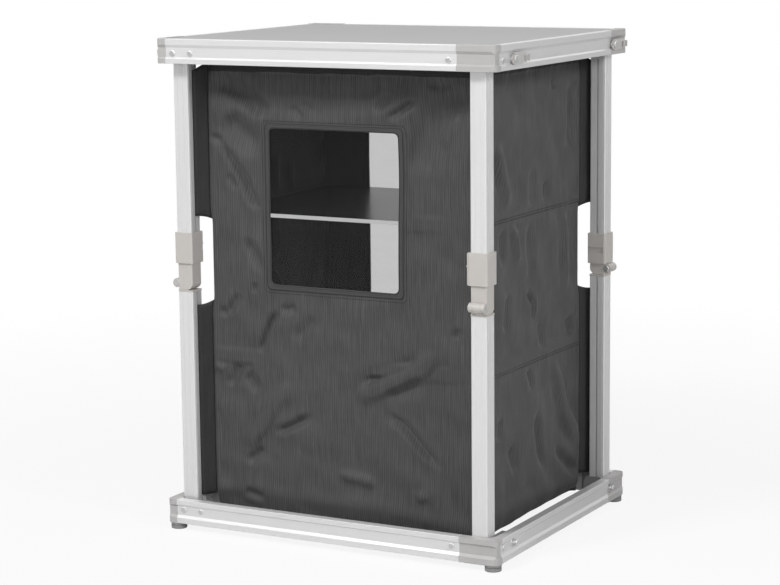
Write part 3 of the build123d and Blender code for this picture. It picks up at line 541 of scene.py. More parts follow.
class Wall:
    """One side of the cloth box, from its flat pattern to its place on the cupboard."""

    def __init__(self, turns, half, depth, folds, seed, mirror=1, seams=(), bottom=None):
        self.turns = turns
        self.depth = depth
        self.folds = folds
        self.seed = seed
        self.mirror = mirror
        self.seams = seams
        self.flat = half - CORNER_RADIUS
        self.edge = self.flat + CORNER_RADIUS * math.pi / 4
        plain_bottom = CLOTH_LOW + 22 * MM
        self.bottom_at, self.bottom = bottom or ((-half, half), (plain_bottom, plain_bottom))

    def opening_calm(self, across, up):
        """1 on open cloth, 0 at a sewn opening's edge. Walls with an opening have their own."""
        return np.ones(across.shape)

    def warp(self, across, up):
        return across

    def lift(self, across, up):
        """How far the cloth stands out from its flat plane."""
        drift = FOLD_DRIFT * noise_over(across, up, 70 * MM, self.seed + 3)
        slip = FOLD_DRIFT * noise_over(across, up, 80 * MM, self.seed + 5)
        out = 4.5 * MM * noise_over(across, up, 120 * MM, self.seed)
        out += 3.4 * MM * noise_over(across + up * 0.6, up - across * 0.3, 48 * MM, self.seed + 1)
        out += 0.6 * MM * noise_over(across, up, 17 * MM, self.seed + 2)
        for fold in self.folds:
            out += fold_lift(fold, self.mirror * across + drift, up + slip)
        for seam in self.seams:
            near = np.abs(up - seam)
            pucker = 0.5 * MM * np.sin(across / (2.6 * MM) + 9 * np.sin(across / (31 * MM)))
            out += pucker * np.exp(-near / (11 * MM))
            out += 0.9 * MM * bell(up, seam + 3.2 * MM, 2.6 * MM)
            out -= 1.5 * MM * bell(up, seam, 1.7 * MM)
        out *= self.opening_calm(across, up)
        hem = HEM_HEIGHT + 1.5 * MM * np.sin(across / (60 * MM) + self.seed)
        pucker = 0.6 * MM * np.sin(across / (2.9 * MM) + 7 * np.sin(across / (27 * MM) + self.seed))
        out += pucker * np.exp(-np.abs(up - hem) / (9 * MM))
        out += HEM_STEP * eased((up - hem) / (1.6 * MM))
        out += HEM_LEAN * eased((up - hem) / HEM_REACH)
        line = np.interp(across * self.mirror, self.bottom_at, self.bottom)
        below = np.clip((line - up) / (line - FLOOR_LEVEL), 0, 1)
        over = np.clip(up - line, 0, None)
        out += BOTTOM_BULGE * (1 - below) * bell(over, 0, BOTTOM_REACH)
        out = np.where(out > 0, MOST_LIFT * np.tanh(out / MOST_LIFT),
                       MOST_SINK * np.tanh(out / MOST_SINK))
        for level in BOARD_LEVELS:
            held = eased((BOARD_REACH - np.abs(up - level)) / (BOARD_REACH / 2))
            out += held * np.clip(CLOTH_SINK / 2 - out, 0, None)
        out -= BOTTOM_TUCK * eased((FLOOR_LEVEL + 2 * MM - up) / BOTTOM_LIP)
        settle = eased((self.edge - np.abs(across)) / (10 * MM))
        return out * settle - CLOTH_SINK * (0.4 + 0.6 * settle)

    def pull(self, up):
        """How far the flaps draw the corner of the box towards the leg."""
        in_gap = eased((up - GAP_LOW + GAP_FADE) / (2 * GAP_FADE))
        in_gap = in_gap * eased((GAP_HIGH + GAP_FADE - up) / (2 * GAP_FADE))
        ends = eased((up - CLOTH_LOW) / (40 * MM)) * eased((CLOTH_HIGH - up) / (70 * MM))
        return CORNER_PULL * (1 - 0.6 * in_gap) * ends

    def place(self, across, up, above=0.0):
        """Points of the flat pattern, in metres, on the cupboard. above is off the cloth's face."""
        across = np.asarray(across, float)
        up = np.asarray(up, float)
        lift = self.lift(across, up) + above
        warped = self.warp(across, up)
        side = np.sign(warped)
        size = np.abs(warped)
        turn = np.clip((size - self.flat) / CORNER_RADIUS, 0, None)
        x = side * np.where(turn > 0, self.flat + (CORNER_RADIUS + lift) * np.sin(turn), size)
        out = self.depth - CORNER_RADIUS + (CORNER_RADIUS + lift) * np.cos(turn)
        drawn = self.pull(up) * np.exp(-(self.edge - size) / CORNER_PULL_REACH)
        x += drawn * np.where(side < 0, DRAWN_LEFT[0], DRAWN_RIGHT[0])
        out += drawn * np.where(side < 0, DRAWN_LEFT[1], DRAWN_RIGHT[1])
        cosine = round(math.cos(self.turns * math.pi / 2))
        sine = round(math.sin(self.turns * math.pi / 2))
        return np.stack([x * cosine + out * sine, x * sine - out * cosine, up], axis=-1)


class WindowWall(Wall):
    """The front, with its window."""

    BOW = 2.5 * MM
    BOW_HEIGHT = 590 * MM
    BOW_REACH = 75 * MM
    BOW_WIDTH = 26 * MM

    def opening_calm(self, across, up):
        beside = np.maximum(WINDOW_LEFT - across, across - WINDOW_RIGHT)
        above = np.maximum(WINDOW_LOW - up, up - WINDOW_HIGH)
        away = np.hypot(np.clip(beside, 0, None), np.clip(above, 0, None))
        return eased((away - TAPE_WIDTH * 0.6) / WINDOW_CALM)

    def warp(self, across, up):
        bow = bell(up, self.BOW_HEIGHT, self.BOW_REACH) * bell(across, WINDOW_RIGHT, self.BOW_WIDTH)
        return across + self.BOW * bow


class DoorWall(Wall):
    """The back, with the door's opening."""

    def opening_calm(self, across, up):
        beside = np.abs(across) - DOOR_HALF
        above = np.maximum(DOOR_LOW - up, up - DOOR_HIGH)
        away = np.maximum(beside, above)
        return eased(away / DOOR_HEM) * 0.8 + 0.2


# Where the cloth turns under the floor: the places across, and the heights there
FRONT_BOTTOM = np.array([(-192, -18, 64, 148, 215), (61, 57, 57, 46, 38)]) * MM
SIDE_BOTTOM = np.array([(-126, -6, 158), (51, 52, 43)]) * MM

front_wall = WindowWall(0, BOX_X, BOX_Y, FRONT_FOLDS, 11.3, bottom=tuple(FRONT_BOTTOM))
side_pattern = {"seams": SIDE_SEAMS, "bottom": tuple(SIDE_BOTTOM)}
right_wall = Wall(1, BOX_Y, BOX_X, RIGHT_FOLDS, 23.7, **side_pattern)
left_wall = Wall(3, BOX_Y, BOX_X, RIGHT_FOLDS, 37.9, mirror=-1, **side_pattern)
back_wall = DoorWall(2, BOX_X, BOX_Y, BACK_FOLDS, 51.1)


# Meshes

def linked(name, data):
    made = bpy.data.objects.new(name, data)
    bpy.context.collection.objects.link(made)
    return made


def new_object(name, points, faces, coords, finish, edges=()):
    """A smooth mesh object. coords gives each point's place in the flat cloth, for its weave."""
    mesh = bpy.data.meshes.new(name)
    mesh.from_pydata([tuple(p) for p in points], list(edges), faces)
    if coords is not None:
        layer = mesh.uv_layers.new(name="weave")
        flat = np.asarray(coords, float)
        corners = np.empty(len(mesh.loops), int)
        mesh.loops.foreach_get("vertex_index", corners)
        layer.data.foreach_set("uv", flat[corners].ravel())
    mesh.polygons.foreach_set("use_smooth", [True] * len(mesh.polygons))
    if finish:
        mesh.materials.append(finish)
    return linked(name, mesh)


def settled(piece):
    """Replaces a piece's mesh by what its modifiers make of it."""
    bpy.context.view_layer.update()
    graph = bpy.context.evaluated_depsgraph_get()
    mesh = bpy.data.meshes.new_from_object(piece.evaluated_get(graph))
    piece.modifiers.clear()
    piece.data = mesh
    return piece


def thickened(piece, thickness, offset=-1):
    solidify = piece.modifiers.new("thickness", "SOLIDIFY")
    solidify.thickness = thickness
    solidify.offset = offset
    return settled(piece)


def collapsing(piece, replaces=()):
    """A soft piece rides on the bottom frame, with its own mesh, in place of the parts it replaces.
    """
    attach(piece, "base")
    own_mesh(piece)
    if replaces:
        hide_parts(*replaces)
    return piece


def stations(low, high, cell, stops=()):
    """Evenly spread values from low to high that pass through every stop."""
    marks = [low, *stops, high]
    values = [low]
    for start, end in zip(marks, marks[1:]):
        count = max(1, round((end - start) / cell))
        values += [start + (end - start) * (step + 1) / count for step in range(count)]
    return np.array(values)


def grid_faces(rows, columns, keep=None):
    """Quads of a grid, with the point numbers running along each row."""
    faces = []
    for row in range(rows - 1):
        for column in range(columns - 1):
            if keep is None or keep(row, column):
                corner = row * columns + column
                faces.append((corner, corner + 1, corner + columns + 1, corner + columns))
    return faces


def without_loose(points, faces, coords):
    """Drops the points that no face uses."""
    used = sorted({number for face in faces for number in face})
    place = {number: index for index, number in enumerate(used)}
    faces = [tuple(place[number] for number in face) for face in faces]
    return points[used], faces, coords[used]


def grid_sheet(name, across, up, place, finish, thickness, keep=None):
    """A sheet on an even grid. place puts points of the flat grid on the cupboard."""
    grid_across, grid_up = np.meshgrid(across, up)
    points = place(grid_across, grid_up).reshape(-1, 3)
    coords = np.stack([grid_across.ravel(), grid_up.ravel()], axis=-1)
    faces = grid_faces(len(up), len(across), keep)
    return thickened(new_object(name, *without_loose(points, faces, coords), finish), thickness)


def wall_cloth(name, wall, cell, finish, window=False):
    """A wall's cloth: one fine grid, cut at the top corners and at the window."""
    hole_margin = 1 * MM
    sides = (WINDOW_LEFT - hole_margin, WINDOW_RIGHT + hole_margin) if window else ()
    levels = (WINDOW_LOW - hole_margin, WINDOW_HIGH + hole_margin) if window else ()
    across = stations(-wall.edge, wall.edge, cell, sides)
    cut_height = CLOTH_HIGH - CORNER_CUT_DROP
    up = stations(CLOTH_LOW, CLOTH_HIGH, cell, (*levels, cut_height))

    def keep(row, column):
        middle_across = (across[column] + across[column + 1]) / 2
        middle_up = (up[row] + up[row + 1]) / 2
        if middle_up > cut_height and abs(middle_across) > wall.edge - CORNER_CUT:
            return False
        in_window = window and sides[0] < middle_across < sides[1]
        return not (in_window and levels[0] < middle_up < levels[1])

    return grid_sheet(name, across, up, wall.place, finish, CLOTH, keep)


LOOP_CORNER_STEPS = 6


def rounded_loop(left, right, low, high, radius, step):
    """Points round a rectangle with rounded corners, anticlockwise from its lower right."""
    quarter = math.pi / 2
    corners = []
    for a, b, start in ((right - radius, low + radius, -quarter),
                        (right - radius, high - radius, 0),
                        (left + radius, high - radius, quarter),
                        (left + radius, low + radius, 2 * quarter)):
        for number in range(LOOP_CORNER_STEPS + 1):
            angle = start + quarter * number / LOOP_CORNER_STEPS
            corners.append((a + radius * math.cos(angle), b + radius * math.sin(angle)))
    corners = np.array(corners)
    loop = []
    for here, ahead in zip(corners, np.roll(corners, -1, axis=0)):
        count = max(1, round(math.dist(here, ahead) / step))
        loop += [here + (ahead - here) * (part / count) for part in range(count)]
    return np.array(loop)


def door_line(out, step=6 * MM):
    """The door's opening grown by out on every side."""
    return rounded_loop(-DOOR_HALF - out, DOOR_HALF + out, DOOR_LOW - out, DOOR_HIGH + out,
                        DOOR_RADIUS + out, step)


def window_line(out, step=5 * MM, over=0.0):
    """The window's opening grown by out on every side, and by over more at the top."""
    return rounded_loop(WINDOW_LEFT - out, WINDOW_RIGHT + out, WINDOW_LOW - out,
                        WINDOW_HIGH + out + over, WINDOW_RADIUS, step)


def resampled(loop, count):
    """The loop with as many points as count, spread evenly over its own points."""
    spread = np.linspace(0, len(loop), count, endpoint=False)
    closed = np.vstack([loop, loop[:1]])
    whole = np.arange(len(closed))
    return np.stack([np.interp(spread, whole, part) for part in closed.T], axis=-1)


def ring_faces(around, rings):
    faces = []
    for ring in range(rings - 1):
        for number in range(around):
            ahead = (number + 1) % around
            low = ring * around
            high = low + around
            faces.append((low + number, low + ahead, high + ahead, high + number))
    return faces


def ring_sheet(name, wall, loops, heights, coords, finish, thickness):
    """A band on a wall between nested loops, each at its own height above the cloth."""
    points = [wall.place(loop[:, 0], loop[:, 1], height) for loop, height in zip(loops, heights)]
    faces = [face[::-1] for face in ring_faces(len(loops[0]), len(loops))]
    piece = new_object(name, np.concatenate(points), faces, np.concatenate(coords), finish)
    return thickened(piece, thickness)


TAPE_THREADS = 2.5 * MM


def sewn_tape(name, wall, loops, heights):
    """A tape sewn on along loops, with its weave running along it."""
    lengths = np.cumsum([0] + [math.dist(a, b) for a, b in zip(loops[0], loops[0][1:])])
    coords = [np.stack([np.full(len(lengths), ring * TAPE_THREADS), lengths], axis=-1)
              for ring in range(len(loops))]
    return ring_sheet(name, wall, loops, heights, coords, tape_cloth, TAPE_THICK)


# Front, right and left cloth

front_cloth = wall_cloth("cloth_front", front_wall, FINE_CELL, front_finish, window=True)
right_cloth = wall_cloth("cloth_right", right_wall, FINE_CELL, side_finish)
left_cloth = wall_cloth("cloth_left", left_wall, WIDE_CELL, side_finish)
wall_height = CLOTH_HIGH - CLOTH_LOW
window_area = (WINDOW_RIGHT - WINDOW_LEFT) * (WINDOW_HIGH - WINDOW_LOW)
front_width = 2 * BOX_X
side_width = 2 * BOX_Y
for piece, node, width, hole in (
    (front_cloth, "fabric_front_panel", front_width, window_area),
    (right_cloth, "fabric_right_panel", side_width, 0),
    (left_cloth, "fabric_left_panel", side_width, 0),
):
    collapsing(piece, (node,))
    width * wall_height - hole

# Window tape and film

TAPE_RINGS = 5
tape_shares = [ring / (TAPE_RINGS - 1) for ring in range(TAPE_RINGS)]
tape_loops = [window_line(TAPE_WIDTH * share) for share in tape_shares]
fewest = min(len(loop) for loop in tape_loops)
window_tape = sewn_tape(
    "window_tape", front_wall, [resampled(loop, fewest) for loop in tape_loops],
    [TAPE_THICK * (0.6 + 0.5 * math.sin(math.pi * share)) for share in tape_shares])
collapsing(window_tape, ("window_binding",))


def film_place(across, up):
    """The window's film, a little wavy between its sewn edges."""
    from_side = np.minimum(across - across.min(), across.max() - across)
    from_end = np.minimum(up - up.min(), up.max() - up)
    free = eased(np.minimum(from_side, from_end) / (60 * MM))
    wave = 1.4 * MM * free * noise_over(across, up, 90 * MM, 61.0)
    return front_wall.place(across, up, wave - FILM_BEHIND)


window_clear = grid_sheet(
    "window_clear_film",
    stations(WINDOW_LEFT - FILM_LAP, WINDOW_RIGHT + FILM_LAP, 6 * MM),
    stations(WINDOW_LOW - FILM_LAP, WINDOW_HIGH + FILM_LAP, 6 * MM),
    film_place, window_finish, FILM_THICK)
collapsing(window_clear, ("window_film",))


# Back border round the door's opening

def radial_outer(loop, wall):
    """For each point of the opening, the point of the wall's outline straight out from it."""
    middle = (CLOTH_LOW + CLOTH_HIGH) / 2
    tall = (CLOTH_HIGH - CLOTH_LOW) / 2
    from_middle = loop - np.array([0, middle])
    reach = np.maximum(np.abs(from_middle[:, 0]) / wall.edge, np.abs(from_middle[:, 1]) / tall)
    outer = from_middle / reach[:, None] + np.array([0, middle])
    for side in (-1, 1):
        for height in (CLOTH_LOW, CLOTH_HIGH):
            corner = np.array([side * wall.edge, height])
            outer[np.argmin(np.linalg.norm(outer - corner, axis=1))] = corner
    cut_height = CLOTH_HIGH - CORNER_CUT_DROP
    cut = (np.abs(outer[:, 0]) > wall.edge - CORNER_CUT) & (outer[:, 1] > cut_height)
    outer[cut, 1] = cut_height
    return outer


DOOR_RINGS = 16
door_loop = door_line(0)
door_reach = radial_outer(door_loop, back_wall) - door_loop
door_bands = [door_loop + door_reach * (ring / (DOOR_RINGS - 1)) for ring in range(DOOR_RINGS)]
back_cloth = ring_sheet("cloth_back_border", back_wall, door_bands, [0.0] * DOOR_RINGS,
                        door_bands, body_cloth, CLOTH)
collapsing(back_cloth, ("fabric_back_border",))

ZIP_BEHIND = 0.6 * MM
zip_loops = [resampled(door_line(-ZIP_WIDTH), len(door_loop)), door_loop]
zip_tape = sewn_tape("zip_tape", back_wall, zip_loops, (-ZIP_BEHIND, -ZIP_BEHIND))
collapsing(zip_tape)


# Floor cloth

def floor_place(across, deep):
    """The bottom of the box, drawn taut between the walls."""
    sag = 0.5 * MM * noise_over(across, deep, 90 * MM, 71.0)
    height = np.full(across.shape, FLOOR_LEVEL + CLOTH * 0.5) + np.minimum(sag, 0)
    return np.stack([across, deep, height + CLOTH * 0.4], axis=-1)


FLOOR_MARGIN = 3 * MM
floor_sheet = grid_sheet(
    "cloth_floor",
    stations(-BOX_X + FLOOR_MARGIN, BOX_X - FLOOR_MARGIN, 15 * MM),
    stations(-BOX_Y + FLOOR_MARGIN, BOX_Y - FLOOR_MARGIN, 15 * MM),
    floor_place, body_cloth, CLOTH * 0.8)
collapsing(floor_sheet, ("fabric_floor",))

# Flaps from the corners of the box into the leg channels

BEAD_RADIUS = 2.3 * MM
BEAD_IN = 9.2 * MM
BEND_OUT = 16.1 * MM
FLAP_THICK = 1.0 * MM
LOWER_FLAP = (53 * MM, GAP_LOW)
UPPER_FLAP = (GAP_HIGH, 750 * MM)
FLAP_FLARE = 6 * MM
FLAP_SHOULDER = 14 * MM
CORNER_WALLS = {
    "front_left": (front_wall, -1),
    "front_right": (front_wall, 1),
    "back_right": (back_wall, -1),
    "back_left": (back_wall, 1),
}


def flap_piece(name, leg, low, high):
    """A strip with a beaded edge that slides into the leg, drawn tight to the box's corner."""
    leg_place, leg_out = np.array(LEGS[leg])
    wall, side = CORNER_WALLS[leg]
    up = stations(low, high, 7 * MM)
    bend = leg_place - leg_out * BEND_OUT
    bead = leg_place - leg_out * BEAD_IN
    upper = low >= GAP_HIGH
    columns = 8
    rows = []
    coords = []
    for height in up:
        along = (height - low) / (high - low)
        row = [(bead[0], bead[1], height)]
        for column in range(columns):
            share = column / (columns - 1)
            flare = FLAP_FLARE * share**2
            if upper:
                level = height - flare * (1 - along) + FLAP_SHOULDER * share * along
            else:
                level = height + flare * along
            end = wall.place([side * wall.edge], [level])[0, :2]
            spot = bend + (end - bend) * share
            across = np.array([-(end - bend)[1], (end - bend)[0]])
            across = across / np.linalg.norm(across)
            ripple = noise_at(share * 2, level / (22 * MM), leg_place[0] * 50 + leg_place[1] * 9)
            spot = spot + across * ripple * 1.1 * MM * math.sin(math.pi * share)
            row.append((spot[0], spot[1], level))
        rows += row
        coords += [(column * 4 * MM, point[2]) for column, point in enumerate(row)]
    faces = grid_faces(len(up), columns + 1)
    strip = thickened(new_object(name, np.array(rows), faces, coords, flap_cloth), FLAP_THICK, 0)
    sides = 10
    ring_points = []
    bead_coords = []
    for height in up:
        for number in range(sides):
            angle = 2 * math.pi * number / sides
            ring_points.append((bead[0] + BEAD_RADIUS * math.cos(angle),
                                bead[1] + BEAD_RADIUS * math.sin(angle), height))
            bead_coords.append((number * 1.4 * MM, height))
    bead_faces = ring_faces(sides, len(up))
    bead_faces.append(tuple(reversed(range(sides))))
    bead_faces.append(tuple(range(sides * (len(up) - 1), sides * len(up))))
    bead_rod = new_object(name + "_bead", ring_points, bead_faces, bead_coords, flap_cloth)
    return joined(strip, bead_rod)


def joined(first, *others):
    """One object from several, keeping the first one's name."""
    with bpy.context.temp_override(active_object=first, selected_editable_objects=[first, *others]):
        bpy.ops.object.join()
    return first


for leg in LEGS:
    for zone, (low, high) in (("lower", LOWER_FLAP), ("upper", UPPER_FLAP)):
        flap = flap_piece(f"flap_{leg}_{zone}", leg, low, high)
        collapsing(flap, ("leg_flaps",))

# Rolled door and its straps

ROLL_X = 175 * MM
ROLL_Y = (roll_low.y + roll_high.y) / 2
ROLL_Z = 730 * MM
ROLL_CORE = 2.6 * MM
ROLL_OUTSIDE = 12.6 * MM
ROLL_PITCH = 0.95 * MM
ROLL_STEPS = 20
ROLL_CLOTH = 0.5 * MM
STRAP_AT = 110 * MM
STRAP_WIDTH = 20 * MM
STRAP_RADIUS = 13.6 * MM


def rolled_door():
    """The rolled door: a spiral from its core out, drawn in a little at each strap."""
    steps = int((ROLL_OUTSIDE - ROLL_CORE) / ROLL_PITCH * ROLL_STEPS)
    angles = np.arange(steps + 1) * 2 * math.pi / ROLL_STEPS
    radii = ROLL_CORE + ROLL_PITCH * angles / (2 * math.pi)
    length = np.concatenate([[0], np.cumsum(np.hypot(np.diff(radii), radii[1:] * np.diff(angles)))])
    across = stations(-ROLL_X, ROLL_X, 9 * MM)
    points = []
    coords = []
    for number, x in enumerate(across):
        near_strap = bell(abs(x), STRAP_AT, 16 * MM)
        uneven = noise_at(x / (55 * MM), 3.1, 7.7)
        share = radii / ROLL_OUTSIDE
        swell = 1 + share * (0.035 * uneven - 0.05 * near_strap)
        at_end = math.copysign(1, x) * (abs(x) / ROLL_X) ** 8
        telescope = 2.5 * MM * at_end * np.sin(angles * 0.21 + 1)
        lump = np.array([noise_at(x / (30 * MM), math.cos(a) * 1.3, math.sin(a) * 1.3)
                         for a in angles])
        reach = radii * swell + 0.4 * MM * lump * share
        points.append(np.stack([np.clip(x + telescope, -ROLL_X, ROLL_X),
                                ROLL_Y + reach * np.cos(angles), ROLL_Z + reach * np.sin(angles)],
                               axis=-1))
        coords.append(np.stack([np.full(len(angles), x), length], axis=-1))
    faces = grid_faces(len(across), len(angles))
    piece = new_object("door_rolled_up", np.concatenate(points), faces, np.concatenate(coords),
                       body_cloth)
    return thickened(piece, ROLL_CLOTH, 0), float(length[-1])


def strap(name, middle):
    """A strap loop round the rolled door with a free end hanging below it."""
    around = 40
    tail = 34 * MM
    tail_steps = 9
    rows = []
    coords = []
    columns = (-0.5, -0.17, 0.17, 0.5)
    run = 0.0
    for step in range(around):
        angle = math.pi / 2 + 2 * math.pi * step / around
        y = ROLL_Y + STRAP_RADIUS * math.cos(angle) * 0.99
        z = ROLL_Z + STRAP_RADIUS * math.sin(angle)
        for column in columns:
            ridge = 0.25 * MM * math.cos(math.pi * column)
            lean = Vector((y - ROLL_Y, z - ROLL_Z)).normalized() * ridge
            rows.append((middle + column * STRAP_WIDTH, y + lean[0], z + lean[1]))
            coords.append((column * STRAP_WIDTH, run))
        run += 2 * math.pi * STRAP_RADIUS / around
    wide = len(columns)
    faces = [tuple(number % len(rows) for number in face) for face in grid_faces(around + 1, wide)]
    loop = thickened(new_object(name, rows, faces, coords, tape_cloth), FLAP_THICK, 0)
    rows = []
    coords = []
    for step in range(tail_steps + 1):
        share = step / tail_steps
        y = ROLL_Y + STRAP_RADIUS + 0.9 * MM + 1.5 * MM * math.sin(share * 3)
        z = ROLL_Z + 6 * MM - tail * share
        rows += [(middle + column * STRAP_WIDTH * 0.96, y, z) for column in columns]
        coords += [(column * STRAP_WIDTH, run + tail * share) for column in columns]
    end = thickened(new_object(name + "_end", rows, grid_faces(tail_steps + 1, wide), coords,
                               tape_cloth), FLAP_THICK, 0)
    return joined(loop, end), run + tail


door_roll, door_length = rolled_door()
collapsing(door_roll, ("rolled_door",))
for side, middle in (("right", STRAP_AT), ("left", -STRAP_AT)):
    tie, tie_length = strap(f"door_strap_{side}", middle)
    collapsing(tie)


# Stitches

def stitching_tree():
    """Sews along the edges of a mesh: small pills, one for each pitch, lying along the edge."""
    tree = bpy.data.node_groups.new("stitching", "GeometryNodeTree")
    face = tree.interface
    for name, kind in (("Seams", "Geometry"), ("Pitch", "Float"), ("Length", "Float"),
                       ("Thickness", "Float"), ("Thread", "Material")):
        face.new_socket(name, in_out="INPUT", socket_type="NodeSocket" + kind)
    face.new_socket("Stitches", in_out="OUTPUT", socket_type="NodeSocketGeometry")
    kinds = {
        "given": "NodeGroupInput",
        "curve": "GeometryNodeMeshToCurve",
        "even": "GeometryNodeResampleCurve",
        "pill": "GeometryNodeMeshUVSphere",
        "size": "ShaderNodeCombineXYZ",
        "shaped": "GeometryNodeTransform",
        "tangent": "GeometryNodeInputTangent",
        "turn": "FunctionNodeAlignRotationToVector",
        "spread": "GeometryNodeInstanceOnPoints",
        "real": "GeometryNodeRealizeInstances",
        "dyed": "GeometryNodeSetMaterial",
        "result": "NodeGroupOutput",
    }
    made = {name: tree.nodes.new(kind) for name, kind in kinds.items()}
    made["even"].mode = "LENGTH"
    made["turn"].axis = "Z"
    for socket, value in (("Segments", 6), ("Rings", 4), ("Radius", 0.5)):
        made["pill"].inputs[socket].default_value = value
    for source, output, target, socket in (
        ("given", "Seams", "curve", 0),
        ("curve", 0, "even", "Curve"),
        ("given", "Pitch", "even", "Length"),
        ("given", "Thickness", "size", "X"),
        ("given", "Thickness", "size", "Y"),
        ("given", "Length", "size", "Z"),
        ("pill", "Mesh", "shaped", "Geometry"),
        ("size", 0, "shaped", "Scale"),
        ("tangent", 0, "turn", "Vector"),
        ("even", 0, "spread", "Points"),
        ("shaped", 0, "spread", "Instance"),
        ("turn", 0, "spread", "Rotation"),
        ("spread", 0, "real", 0),
        ("real", 0, "dyed", "Geometry"),
        ("given", "Thread", "dyed", "Material"),
        ("dyed", 0, "result", 0),
    ):
        tree.links.new(made[source].outputs[output], made[target].inputs[socket])
    return tree


STITCHING = stitching_tree()


def sewn(name, seams, pitch, length, thickness, finish):
    """Stitches along seams, each a list of points on the cupboard, as one plain mesh."""
    points = []
    edges = []
    for seam in seams:
        start = len(points)
        points += [tuple(p) for p in seam]
        edges += [(start + step, start + step + 1) for step in range(len(seam) - 1)]
    piece = new_object(name, points, [], None, finish, edges)
    modifier = piece.modifiers.new("stitches", "NODES")
    modifier.node_group = STITCHING
    values = {"Pitch": pitch, "Length": length, "Thickness": thickness, "Thread": finish}
    for item in STITCHING.interface.items_tree:
        if item.in_out == "INPUT" and item.name in values:
            modifier[item.identifier] = values[item.name]
    settled(piece)
    piece.data.materials.clear()
    piece.data.materials.append(finish)
    piece.data.polygons.foreach_set("material_index", [0] * len(piece.data.polygons))
    piece.data.uv_layers.new(name="weave")
    piece.data.polygons.foreach_set("use_smooth", [True] * len(piece.data.polygons))
    return collapsing(piece)


def closed_seam(wall, loop, above):
    points = wall.place(loop[:, 0], loop[:, 1], above)
    return np.vstack([points, points[:1]])


def level_seam(wall, height, above, inset=8 * MM):
    across = stations(-wall.edge + inset, wall.edge - inset, 6 * MM)
    return wall.place(across, np.full(len(across), height), above)


THREAD = 1.2 * MM
STITCH_LENGTH = 3.1 * MM
STITCH_PITCH = 4.0 * MM
STITCH_ABOVE = 0.1 * MM
seams = []
for out, above in ((1.6 * MM, 1.15 * MM), (8.2 * MM, 1.1 * MM)):
    seams.append(closed_seam(front_wall, window_line(out), above))
seams.append(closed_seam(front_wall, window_line(14 * MM, over=-2 * MM), STITCH_ABOVE))
for wall in (front_wall, right_wall, left_wall):
    seams.append(level_seam(wall, HEM_HEIGHT + 4 * MM, STITCH_ABOVE))
    for height in wall.seams:
        seams.append(level_seam(wall, height + 4.4 * MM, STITCH_ABOVE))
for out in (DOOR_HEM, 3 * MM):
    seams.append(closed_seam(back_wall, door_line(out), STITCH_ABOVE))
sewn("cloth_stitches", seams, STITCH_PITCH, STITCH_LENGTH, THREAD, thread_finish)

TOOTH_PITCH = 2.2 * MM
TOOTH_LENGTH = 1.3 * MM
TOOTH_WIDTH = 2.6 * MM
teeth_line = closed_seam(back_wall, door_line(-ZIP_WIDTH), -0.9 * MM)
sewn("zip_teeth", [teeth_line], TOOTH_PITCH, TOOTH_LENGTH, TOOTH_WIDTH, zip_plastic)


# Stage, light and camera

def stage_floor():
    """A pale floor that is white to the camera and keeps a faint shadow under the feet."""
    size = 30.0
    bpy.ops.mesh.primitive_plane_add(size=size)
    floor = bpy.context.object
    floor.name = "floor"
    finish = Finish("floor_paper")
    from_middle = finish.node("ShaderNodeVectorMath", {0: finish.place()}, "Value",
                              operation="LENGTH")
    near, away = 0.7, 2.2
    near_white, full_white = 0.88, 1.0
    far = finish.node("ShaderNodeMapRange",
                      {0: from_middle, 1: near, 2: away, 3: near_white, 4: full_white})
    seen = finish.node("ShaderNodeLightPath", output="Is Camera Ray")
    paper = finish.node("ShaderNodeBsdfDiffuse", {"Color": grey(0.86)})
    white = finish.node("ShaderNodeEmission", {"Color": grey(1.0), "Strength": 1.0})
    mixed = finish.node("ShaderNodeMixShader", {0: far * seen, 1: paper, 2: white})
    finish.node("ShaderNodeOutputMaterial", {"Surface": mixed}, None)
    floor.data.materials.append(finish.material)


MIDDLE = (0, 0, 0.42)


def area_light(name, place, size, watts):
    """A square lamp that looks at the middle of the cupboard."""
    lamp = bpy.data.lights.new(name, "AREA")
    lamp.shape = "SQUARE"
    lamp.size = size
    lamp.energy = watts
    holder = linked(name, lamp)
    aim = Vector(MIDDLE) - Vector(place)
    holder.rotation_mode = "QUATERNION"
    holder.rotation_quaternion = aim.to_track_quat("-Z", "Y")
    holder.location = place


AMBIENT = 0.18


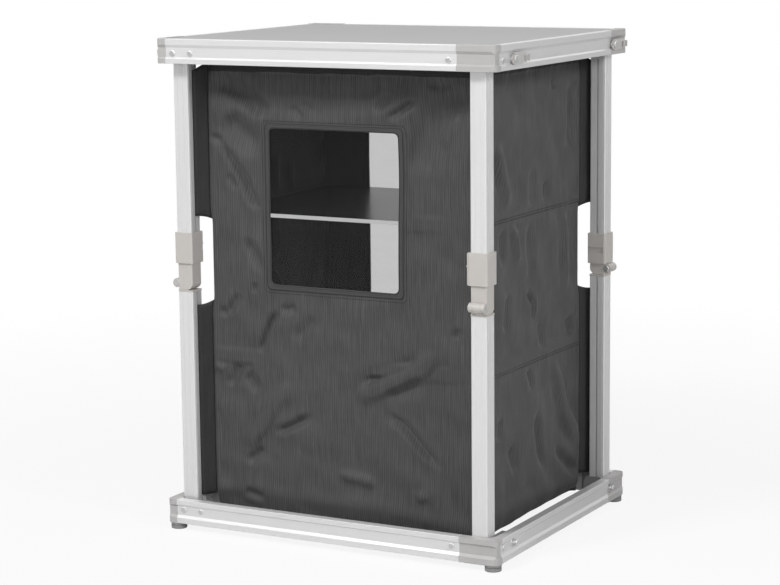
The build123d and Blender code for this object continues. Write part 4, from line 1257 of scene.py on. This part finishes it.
def white_world():
    """White to the camera and in reflections, with a moderate even light on everything else."""
    world = bpy.data.worlds.new("studio")
    world.use_nodes = True
    bpy.context.scene.world = world
    shading = Shading(world.node_tree)
    camera_ray = shading.node("ShaderNodeLightPath", output="Is Camera Ray")
    paths = camera_ray.socket.node
    glossy = Value(shading, paths.outputs["Is Glossy Ray"])
    through = Value(shading, paths.outputs["Is Transmission Ray"])
    seen = shading.node("ShaderNodeMath", {0: camera_ray + glossy, 1: through},
                        operation="ADD", use_clamp=True)
    lit, white = [shading.node("ShaderNodeBackground", {"Color": grey(1.0), "Strength": strength})
                  for strength in (AMBIENT, 1.0)]
    mixed = shading.node("ShaderNodeMixShader", {0: seen, 1: lit, 2: white})
    shading.node("ShaderNodeOutputWorld", {"Surface": mixed}, None)


stage_floor()
white_world()
for name, place, size, watts in (
    ("key", (-0.9, -2.9, 3.3), 0.8, 92),
    ("near_camera", (2.4, -3.8, 1.7), 1.1, 20),
    ("right", (3.3, -1.0, 2.3), 0.8, 44),
    ("top", (0.2, -0.2, 3.4), 2.0, 1),
    ("back", (0.6, 3.4, 2.2), 2.0, 10),
):
    area_light(name, place, size, watts)

CAMERA_PLACE = (1.7836, -3.3307, 1.0040)
CAMERA_YAW = math.radians(28.38)
CAMERA_PITCH = math.radians(9.439)
CAMERA_ROLL = math.radians(-0.598)
LENS = 107.1


def photo_camera():
    """The camera at the photograph's place."""
    camera = bpy.data.cameras.new("camera")
    camera.lens = LENS
    camera.sensor_width = 36
    camera.sensor_fit = "HORIZONTAL"
    camera.clip_start = 0.05
    camera.clip_end = 100
    holder = linked("camera", camera)
    look = Vector((-math.sin(CAMERA_YAW) * math.cos(CAMERA_PITCH),
                   math.cos(CAMERA_YAW) * math.cos(CAMERA_PITCH), -math.sin(CAMERA_PITCH)))
    right = Vector((math.cos(CAMERA_YAW), math.sin(CAMERA_YAW), 0))
    up = right.cross(look)
    leaned_right = right * math.cos(CAMERA_ROLL) + up * math.sin(CAMERA_ROLL)
    leaned_up = up * math.cos(CAMERA_ROLL) - right * math.sin(CAMERA_ROLL)
    turned = Matrix((leaned_right, leaned_up, -look)).transposed()
    holder.matrix_world = Matrix.Translation(CAMERA_PLACE) @ turned.to_4x4()
    bpy.context.scene.camera = holder


photo_camera()
bpy.context.scene.view_settings.view_transform = "Standard"
